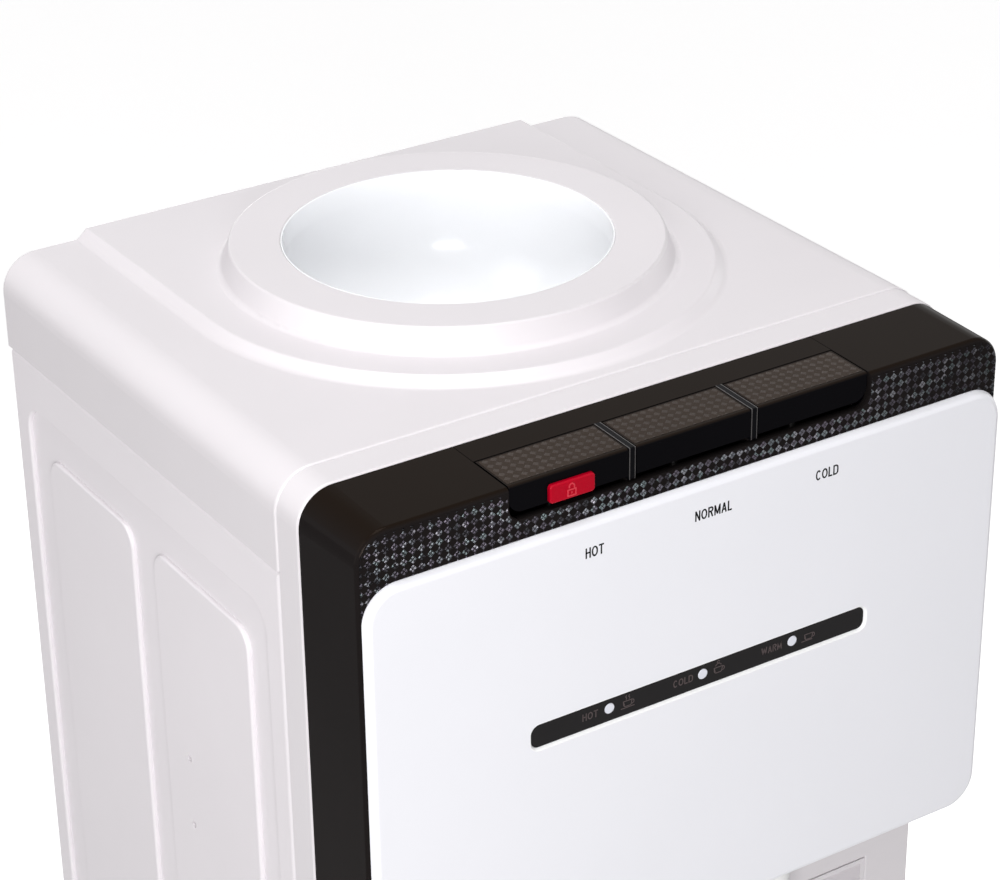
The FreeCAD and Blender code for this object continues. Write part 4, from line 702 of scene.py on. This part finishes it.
def check_relief(name, look, body, outline, rows, columns, shape, size, peak, place):
    """Raised diamonds on a square lattice, cut to an outline; level 0 is the face they stand on."""
    pyramids = Shell()
    for v in rows:
        for u in columns:
            shape(pyramids, u, v, size / 2.0, peak, place)
    cutter = Shell()
    plate(cutter, outline, [], CUTTER_REACH, -CUTTER_REACH, place)
    piece = link(name, pyramids.mesh(name))
    keep_inside(piece, link(name + "_cut", cutter.mesh(name + "_cut")))
    dress(piece, look, body)


def steps_over(start, low, high):
    """Lattice lines at the pattern's pitch that cover low to high."""
    first = math.floor((low - start) / CHECK_PITCH)
    last = math.ceil((high - start) / CHECK_PITCH)
    return [start + CHECK_PITCH * k for k in range(first, last + 1)]


def round_panel(centre_x, edge_x):
    """The band's lower edge where it follows a corner of the panel, from the side inwards."""
    reach = PANEL_CORNER + BAND_PANEL_GAP
    side = math.copysign(1.0, edge_x)
    start = math.asin(min(1.0, abs(edge_x - centre_x) / reach))
    turns = [start * (1.0 - step / BAND_PANEL_STEPS) for step in range(BAND_PANEL_STEPS + 1)]
    return [(centre_x + side * reach * math.sin(turn),
             PANEL_TOP_Z - PANEL_CORNER + reach * math.cos(turn), 0.0) for turn in turns]


def checker_band():
    """The band of small silver diamonds over the panel and beside the buttons."""
    left = round_panel(PANEL_LEFT + PANEL_CORNER, -BAND_EDGE_X)
    right = round_panel(PANEL_RIGHT - PANEL_CORNER, BAND_EDGE_X)
    outline = rounded(left + right[::-1] + [
        (BAND_EDGE_X, BAND_TOP_Z, BAND_CORNER), (NOTCH_RIGHT, BAND_TOP_Z, 0.0),
        (NOTCH_RIGHT, NOTCH_FLOOR, NOTCH_CORNER), (NOTCH_LEFT, NOTCH_FLOOR, NOTCH_CORNER),
        (NOTCH_LEFT, BAND_TOP_Z, 0.0), (-BAND_EDGE_X, BAND_TOP_Z, BAND_CORNER)])
    check_relief("checker_band", "band_silver", "cabinet", outline,
                 steps_over(BAND_ROW, PANEL_TOP_Z - PANEL_CORNER, BAND_TOP_Z),
                 steps_over(CHECK_COLUMN, -BAND_EDGE_X, BAND_EDGE_X),
                 diamond, BAND_DIAMOND, BAND_PEAK, on_band)


def button_tops():
    """A thin pad on each button, whose warm brown is a painted reflection, with flat-topped
    diamonds on it.
    """
    reach = BUTTON_WIDTH / 2.0 - PAD_SIDE_GAP
    for button, centre in BUTTON_CENTRES.items():
        body = button + "_button"
        outline = box_outline(centre - reach, PAD_FRONT_Y, centre + reach, PAD_REAR_Y, PAD_CORNER)
        base = Shell()
        plate(base, outline, [], PAD_BASE, -RELIEF_SINK, on_slope)
        add(body + "_painted_reflection_pad", base, "button_top_painted_reflection", body, angle=0.0)
        # The diamonds are lighter than the pad: painted glints.
        check_relief(body + "_relief", "button_pip_painted_glint", body, outline,
                     steps_over(PAD_ROW, PAD_FRONT_Y, PAD_REAR_Y),
                     steps_over(PAD_COLUMN, centre - reach, centre + reach),
                     tile, PAD_DIAMOND, PAD_PEAK, on_slope)


# The ribs between the buttons.

def rib(shell, left, right, proud, edge):
    """One upright bar with a rounded front and top, proud of the surround."""
    high = slope_z(RIB_FRONT_Y) + proud
    outline = rounded([(left, RIB_LOW_Z, 0.0), (right, RIB_LOW_Z, 0.0), (right, high, edge),
                       (left, high, edge)], RIB_EDGE_STEPS)
    plate(shell, outline, [], RIB_FRONT_Y - proud, RIB_REAR_Y, along_slope,
          edge=round_edge(edge))


def button_ribs():
    """The two black ribs, with their beads as a brighter piece: painted glints along each rib's
    edges.
    """
    ribs = Shell()
    painted_glints = Shell()
    for left, right in RIB_SIDES:
        rib(ribs, left, right, RIB_PROUD, RIB_EDGE)
        for start in (left + RIB_GLINT / 2.0, right - RIB_GLINT * 1.5):
            rib(painted_glints, start, start + RIB_GLINT, RIB_PROUD + RIB_GLINT_PROUD, RIB_GLINT_EDGE)
    add("button_ribs", ribs, "rib_black", "cabinet", angle=SOFT_EDGE_ANGLE)
    add("button_rib_painted_glints", painted_glints, "rib_painted_glint", "cabinet",
        angle=SOFT_EDGE_ANGLE)


# The bowl that the bottle stands in.

def turned(shell, profile):
    """Turns a closed profile of (radius, z) points about the ring's centre."""
    turns = [2.0 * math.pi * step / BOWL_TURN_STEPS for step in range(BOWL_TURN_STEPS)]
    rings = [shell.loop((radius * math.cos(turn), BOWL_Y + radius * math.sin(turn), z)
                        for turn in turns)
             for radius, z in profile]
    for low, high in zip(rings, rings[1:] + rings[:1]):
        shell.strip(low, high)


def arc_through(start, middle, end):
    """Points of the arc through three (radius, z) points."""
    a, b, c = (Vector(point) for point in (start, middle, end))
    double = 2.0 * ((a.x - c.x) * (b.y - c.y) - (b.x - c.x) * (a.y - c.y))
    from_a = a.length_squared - c.length_squared
    from_b = b.length_squared - c.length_squared
    centre = Vector(((from_a * (b.y - c.y) - from_b * (a.y - c.y)) / double,
                     (from_b * (a.x - c.x) - from_a * (b.x - c.x)) / double))
    first = math.atan2(a.y - centre.y, a.x - centre.x)
    last = math.atan2(c.y - centre.y, c.x - centre.x)
    radius = (a - centre).length
    turns = [first + (last - first) * step / BOWL_ARC_STEPS for step in range(BOWL_ARC_STEPS + 1)]
    return [(centre.x + radius * math.cos(turn), centre.y + radius * math.sin(turn))
            for turn in turns]


def bottle_bowl():
    """A smooth funnel with a small lip at its top and a short neck."""
    middle = ((BOWL_WALL + BOWL_NECK) / 2.0 + BOWL_SAG,
              (BOWL_SIDE_Z + BOWL_FLOOR_Z) / 2.0 - BOWL_SAG)
    inside = arc_through((BOWL_WALL, BOWL_SIDE_Z), middle, (BOWL_NECK, BOWL_FLOOR_Z))
    outside = [(radius + BOWL_SHELL, z - BOWL_SHELL) for radius, z in inside]
    profile = (
        arc(BOWL_RIM - BOWL_EDGE, BOWL_TOP_Z - BOWL_EDGE, BOWL_EDGE, 0.0, 90.0, steps=4)
        + arc(BOWL_WALL + BOWL_LIP, BOWL_TOP_Z - BOWL_LIP, BOWL_LIP, 90.0, 180.0, steps=10)
        + inside + [(BOWL_NECK, BOWL_NECK_Z), (BOWL_NECK + BOWL_SHELL, BOWL_NECK_Z)]
        + [point for point in reversed(outside) if BOWL_NECK + BOWL_SHELL < point[0] < BOWL_RIM]
        + [(BOWL_RIM, BOWL_SIDE_Z - BOWL_SHELL)])
    shell = Shell()
    turned(shell, profile)
    add("bowl", shell, "bowl_plastic", "cabinet", "bottle_bowl",
        angle=HARD_EDGE_ANGLE)


# The front panel and the indicator strip.

def lens_outline(grown):
    """The strip's window, made larger all round."""
    return box_outline(LENS_LEFT - grown, LENS_LOW_Z - grown, LENS_RIGHT + grown,
                       LENS_HIGH_Z + grown, LENS_CORNER + grown)


def front_panel():
    """The panel, and the chamfered rim round its window, in a brighter white that is a painted
    highlight.
    """
    panel = Shell()
    outline = box_outline(PANEL_LEFT, PANEL_LOW_Z, PANEL_RIGHT, PANEL_TOP_Z, PANEL_CORNER,
                          PANEL_CORNER_STEPS)
    plate(panel, outline, [lens_outline(LENS_RIM_WIDTH)], PANEL_FRONT_Y, PANEL_REAR_Y,
          facing_front, edge=PANEL_RIM)
    add("front_panel_plate", panel, "panel_white", "cabinet", "front_panel")
    rim = Shell()
    plate(rim, lens_outline(LENS_RIM_WIDTH), [lens_outline(0.0)], PANEL_FRONT_Y, PANEL_REAR_Y,
          facing_front, hole_edge=LENS_RIM)
    add("lens_rim", rim, "rim_painted_highlight", "cabinet")


def indicator_strip():
    """The dark strip, with a round opening for each lamp."""
    lens = Shell()
    openings = [circle(x, LENS_MARK_Z, LAMP_RADIUS + LENS_GAP) for x in LAMP_CENTRES]
    plate(lens, lens_outline(-LENS_GAP), openings, LENS_FRONT_Y, PANEL_REAR_Y, facing_front)
    add("lens_plate", lens, "lens_dark", "cabinet", "indicator_lens")
    lamps = Shell()
    for x in LAMP_CENTRES:
        plate(lamps, circle(x, LENS_MARK_Z, LAMP_RADIUS), [], LAMP_FRONT_Y, PANEL_REAR_Y,
              facing_front, edge=round_edge(LAMP_EDGE, LAMP_EDGE_STEPS))
    add("lens_lamps", lamps, "lamp_white", "cabinet", "indicator_lights",
        angle=SOFT_EDGE_ANGLE)


# Printed words and cups. A drawing is a list of (points, closed) lines.

def letter_lines(letter):
    """A plain capital's width and lines, both in shares of its height."""
    wide = WIDTH_SHARES[letter]
    mid = wide / 2.0
    low = left = STEM_SHARE / 2.0
    high = 1.0 - low
    right = wide - left
    steep_high, steep_low = SLANT_SHARES
    left_stem = ([(left, 0.0), (left, 1.0)], False)
    right_stem = ([(right, 0.0), (right, 1.0)], False)

    def oval(start, end):
        return [(mid + (mid - left) * u, 0.5 + (0.5 - low) * v)
                for u, v in arc(0.0, 0.0, 1.0, start, end, OVAL_STEPS)]

    def across_from(shares):
        return [wide * share for share in shares]

    bar_start, bar_end = across_from(A_BAR_WIDTH_SHARES)
    foot_one, foot_two = across_from(W_FOOT_WIDTH_SHARES)
    bow_x = right - D_BOW_SHARE
    lines = {
        "H": [left_stem, right_stem, ([(left, H_BAR_SHARE), (right, H_BAR_SHARE)], False)],
        "T": [([(0.0, high), (wide, high)], False), ([(mid, 0.0), (mid, high)], False)],
        "N": [left_stem, right_stem, ([(left, steep_high), (right, steep_low)], False)],
        "M": [left_stem, right_stem, ([(left, steep_high), (mid, M_DIP_SHARE)], False),
              ([(mid, M_DIP_SHARE), (right, steep_high)], False)],
        "L": [([(left, 1.0), (left, low), (wide, low)], False)],
        "A": [([(left, 0.0), (mid, A_TIP_SHARE)], False),
              ([(right, 0.0), (mid, A_TIP_SHARE)], False),
              ([(bar_start, A_BAR_SHARE), (bar_end, A_BAR_SHARE)], False)],
        "W": [([(left, 1.0), (foot_one, W_FOOT_SHARE)], False),
              ([(foot_one, W_FOOT_SHARE), (mid, W_PEAK_SHARE)], False),
              ([(mid, W_PEAK_SHARE), (foot_two, W_FOOT_SHARE)], False),
              ([(foot_two, W_FOOT_SHARE), (right, 1.0)], False)],
        "O": [(oval(*O_TURN), True)],
        "C": [(oval(*C_TURN), False)],
        "D": [([(left, low)] + arc(bow_x, low + D_BOW_SHARE, D_BOW_SHARE, 270.0, 360.0)
               + arc(bow_x, high - D_BOW_SHARE, D_BOW_SHARE, 0.0, 90.0) + [(left, high)], True)],
        "R": [left_stem,
              ([(left, high)] + arc(right - R_BOW_SHARE, R_WAIST_SHARE + R_BOW_SHARE,
                                    R_BOW_SHARE, 90.0, -90.0) + [(left, R_WAIST_SHARE)], False),
              ([(mid, R_WAIST_SHARE), (right, 0.0)], False)],
    }
    return wide, lines[letter]


def word(name, letters, x, z, width, height, front, look):
    """A printed word of even strokes, centred at x and z, just proud of its face."""
    shell = Shell()
    drawn = [letter_lines(letter) for letter in letters]
    total = sum(wide for wide, lines in drawn) + SPACE_SHARE * (len(drawn) - 1)
    stretch = width / total
    start = x - width / 2.0
    for wide, lines in drawn:
        for path, closed in lines:
            stroke(shell, [(start + u * stretch, z + (v - 0.5) * height) for u, v in path],
                   STEM_SHARE * height, front - MARK_LIFT, front + RELIEF_SINK, closed)
        start += (wide + SPACE_SHARE) * stretch
    add(name, shell, look, "cabinet", angle=0.0)


def words():
    """Plain words on the panel and on the strip."""
    for letters, x, width in PANEL_WORDS:
        word("panel_word_" + letters.lower(), letters, x, PANEL_WORD_Z, width,
             PANEL_WORD_HEIGHT, PANEL_FRONT_Y, "print_grey")
    for letters, x, width in LENS_WORDS:
        word("lens_word_" + letters.lower(), letters, x, LENS_MARK_Z, width,
             LENS_WORD_HEIGHT, LENS_FRONT_Y, "print_dim")


def cup_lines():
    """The lines of each kind of cup: on a saucer with steam, with a cover, and on a table."""
    rim_u, rim_v = CUP_RIM
    corner_u, corner_v, corner = CUP_CORNER
    body = ([(-rim_u, rim_v), CUP_WALL_FOOT]
            + arc(-corner_u, corner_v, corner, 180.0, 270.0, CUP_CORNER_STEPS)
            + arc(corner_u, corner_v, corner, 270.0, 360.0, CUP_CORNER_STEPS)
            + [(rim_u, rim_v)])
    cup = [(body, True), (arc(*CUP_HANDLE, *CUP_HANDLE_TURN, CUP_HANDLE_STEPS), False)]
    steam = [([(place + u, v) for u, v in STEAM_WAVE], False) for place in STEAM_PLACES]
    cover = (arc(*COVER, *COVER_TURN, COVER_STEPS), False)
    knob = (arc(*KNOB, *KNOB_TURN, KNOB_STEPS), False)
    return {"hot": cup + [(SAUCER, False)] + steam, "cold": cup + [cover, knob],
            "warm": cup + [(TABLE_LINE, False)]}


def cups():
    """A cup beside each word of the strip."""
    shell = Shell()
    lines = cup_lines()
    for kind, x in CUP_CENTRES.items():
        for path, closed in lines[kind]:
            stroke(shell, [(x + u * CUP_SCALE, LENS_MARK_Z + v * CUP_SCALE) for u, v in path],
                   CUP_STROKE, LENS_FRONT_Y - MARK_LIFT, LENS_FRONT_Y + RELIEF_SINK, closed)
    add("lens_cups", shell, "print_dim", "cabinet", angle=0.0)


# The lock tab on the hot button.

def padlock():
    """A small open padlock in raised lines."""
    shell = Shell()
    wide, high = LOCK_BODY
    radius, rise = LOCK_SHACKLE
    left = LOCK_X - wide / 2.0
    front = TAB_FRONT_Y - LOCK_LIFT
    back = TAB_FRONT_Y + RELIEF_SINK
    body = [(left, LOCK_LOW_Z), (left + wide, LOCK_LOW_Z), (left + wide, LOCK_LOW_Z + high),
            (left, LOCK_LOW_Z + high)]
    stroke(shell, body, LOCK_STROKE, front, back, True)
    foot = LOCK_LOW_Z + high + LOCK_STROKE / 2.0
    shackle = [(LOCK_X + radius, foot)] + arc(LOCK_X, foot + rise, radius, 0.0, 180.0)
    shackle.append((LOCK_X - radius, foot + LOCK_OPEN_END))
    stroke(shell, shackle, LOCK_STROKE, front, back)
    keyhole = [(LOCK_X, LOCK_LOW_Z + height) for height in LOCK_KEYHOLE]
    stroke(shell, keyhole, LOCK_STROKE, front, back)
    return shell


def lock_tab():
    """The red tab, with the padlock standing on its front in a lighter red that is a painted
    highlight.
    """
    tab = Shell()
    outline = box_outline(TAB_LEFT, TAB_LOW_Z, TAB_RIGHT, TAB_TOP_Z, TAB_CORNER)
    plate(tab, outline, [], TAB_FRONT_Y, TAB_BACK_Y, facing_front, edge=round_edge(TAB_EDGE))
    add("lock_tab", tab, "red_plastic", "lock_tab", "hot_lock_tab",
        angle=SOFT_EDGE_ANGLE)
    add("lock_tab_relief", padlock(), "red_painted_highlight", "lock_tab",
        angle=HARD_EDGE_ANGLE)


checker_band()
button_tops()
button_ribs()
bottle_bowl()
front_panel()
indicator_strip()
words()
cups()
lock_tab()


# Floor, light and camera. The studio's own sizes are in metres, and powers in watts.

WORLD_COLOUR = (1.0, 0.985, 0.99, 1.0)
WORLD_STRENGTH = 0.296
WHITE = (1.0, 1.0, 1.0, 1.0)

# What the camera's rays see added to the floor, so that it reads white and keeps the shadow.
FLOOR_GLOW = 0.66
FLOOR_REACH = 12.0
FLOOR_LOOK = dict(colour=(0.86, 0.86, 0.86), roughness=0.7, grain=60.0, bump=0.01, mottle=0.01)

# Each area light's place, the point it faces, its side and its power.
AREA_LIGHTS = {
    "front": ((-0.75, -1.2, 1.15), (0.0, -0.1, 0.9), 0.5, 13.9),
    "top": ((-0.1, -0.1, 2.2), (0.0, 0.0, 0.95), 0.8, 11.4),
    "left": ((-1.3, 0.35, 0.95), (-0.15, 0.05, 0.85), 0.9, 2.5),
    "upper_left": ((-0.95, 0.05, 1.5), (-0.1, 0.0, 0.95), 0.6, 1.8),
    "right": ((1.5, 0.1, 0.85), (0.15, 0.0, 0.55), 0.9, 4.0),
    "rear": ((0.8, 1.7, 0.75), (0.0, 0.13, 0.55), 0.8, 5.0),
}


def world():
    """Soft light from all round, which the camera, gloss and glass see as plain white."""
    made = bpy.data.worlds.new("studio")
    made.use_nodes = True
    nodes = made.node_tree.nodes
    links = made.node_tree.links
    nodes.clear()
    path = nodes.new("ShaderNodeLightPath")
    seen = path.outputs["Is Camera Ray"]
    for ray in ("Is Glossy Ray", "Is Transmission Ray"):
        either = nodes.new("ShaderNodeMath")
        either.operation = "ADD"
        either.use_clamp = True
        links.new(seen, either.inputs[0])
        links.new(path.outputs[ray], either.inputs[1])
        seen = either.outputs["Value"]
    mix = nodes.new("ShaderNodeMixShader")
    links.new(seen, mix.inputs["Fac"])
    backgrounds = ((1, WORLD_COLOUR, WORLD_STRENGTH), (2, WHITE, 1.0))
    for place, colour, strength in backgrounds:
        background = nodes.new("ShaderNodeBackground")
        background.inputs["Color"].default_value = colour
        background.inputs["Strength"].default_value = strength
        links.new(background.outputs["Background"], mix.inputs[place])
    output = nodes.new("ShaderNodeOutputWorld")
    links.new(mix.outputs["Shader"], output.inputs["Surface"])
    bpy.context.scene.world = made


def floor():
    """A pale floor that glows a little to the camera alone."""
    reach = FLOOR_REACH
    data = bpy.data.meshes.new("floor")
    data.from_pydata([(-reach, -reach, 0.0), (reach, -reach, 0.0), (reach, reach, 0.0),
                      (-reach, reach, 0.0)], [], [(0, 1, 2, 3)])
    obj = link("floor", data)
    look = material("floor_look", **FLOOR_LOOK)
    nodes = look.node_tree.nodes
    links = look.node_tree.links
    path = nodes.new("ShaderNodeLightPath")
    glow = nodes.new("ShaderNodeMath")
    glow.operation = "MULTIPLY"
    glow.inputs[1].default_value = FLOOR_GLOW
    shader = nodes["Principled BSDF"]
    shader.inputs["Emission Color"].default_value = WHITE
    links.new(path.outputs["Is Camera Ray"], glow.inputs[0])
    links.new(glow.outputs["Value"], shader.inputs["Emission Strength"])
    data.materials.append(look)


def camera():
    """A camera at the photograph's viewing angle."""
    data = bpy.data.cameras.new("photo_camera")
    data.lens = CAMERA_LENS
    data.sensor_width = SENSOR_WIDTH
    obj = link("photo_camera", data)
    obj.location = CAMERA_PLACE
    obj.rotation_euler = Euler([math.radians(turn) for turn in CAMERA_TURN], "XYZ")
    bpy.context.scene.camera = obj


def area_light(name, place, target, side, power):
    """A square light that faces its target."""
    data = bpy.data.lights.new(name, "AREA")
    data.shape = "RECTANGLE"
    data.size = side
    data.size_y = side
    data.energy = power
    lamp = link(name, data)
    lamp.location = place
    lamp.rotation_euler = (Vector(target) - Vector(place)).to_track_quat("-Z", "Y").to_euler()


world()
floor()
camera()
for name, setting in AREA_LIGHTS.items():
    area_light(name, *setting)

bpy.context.scene.view_settings.view_transform = "Standard"
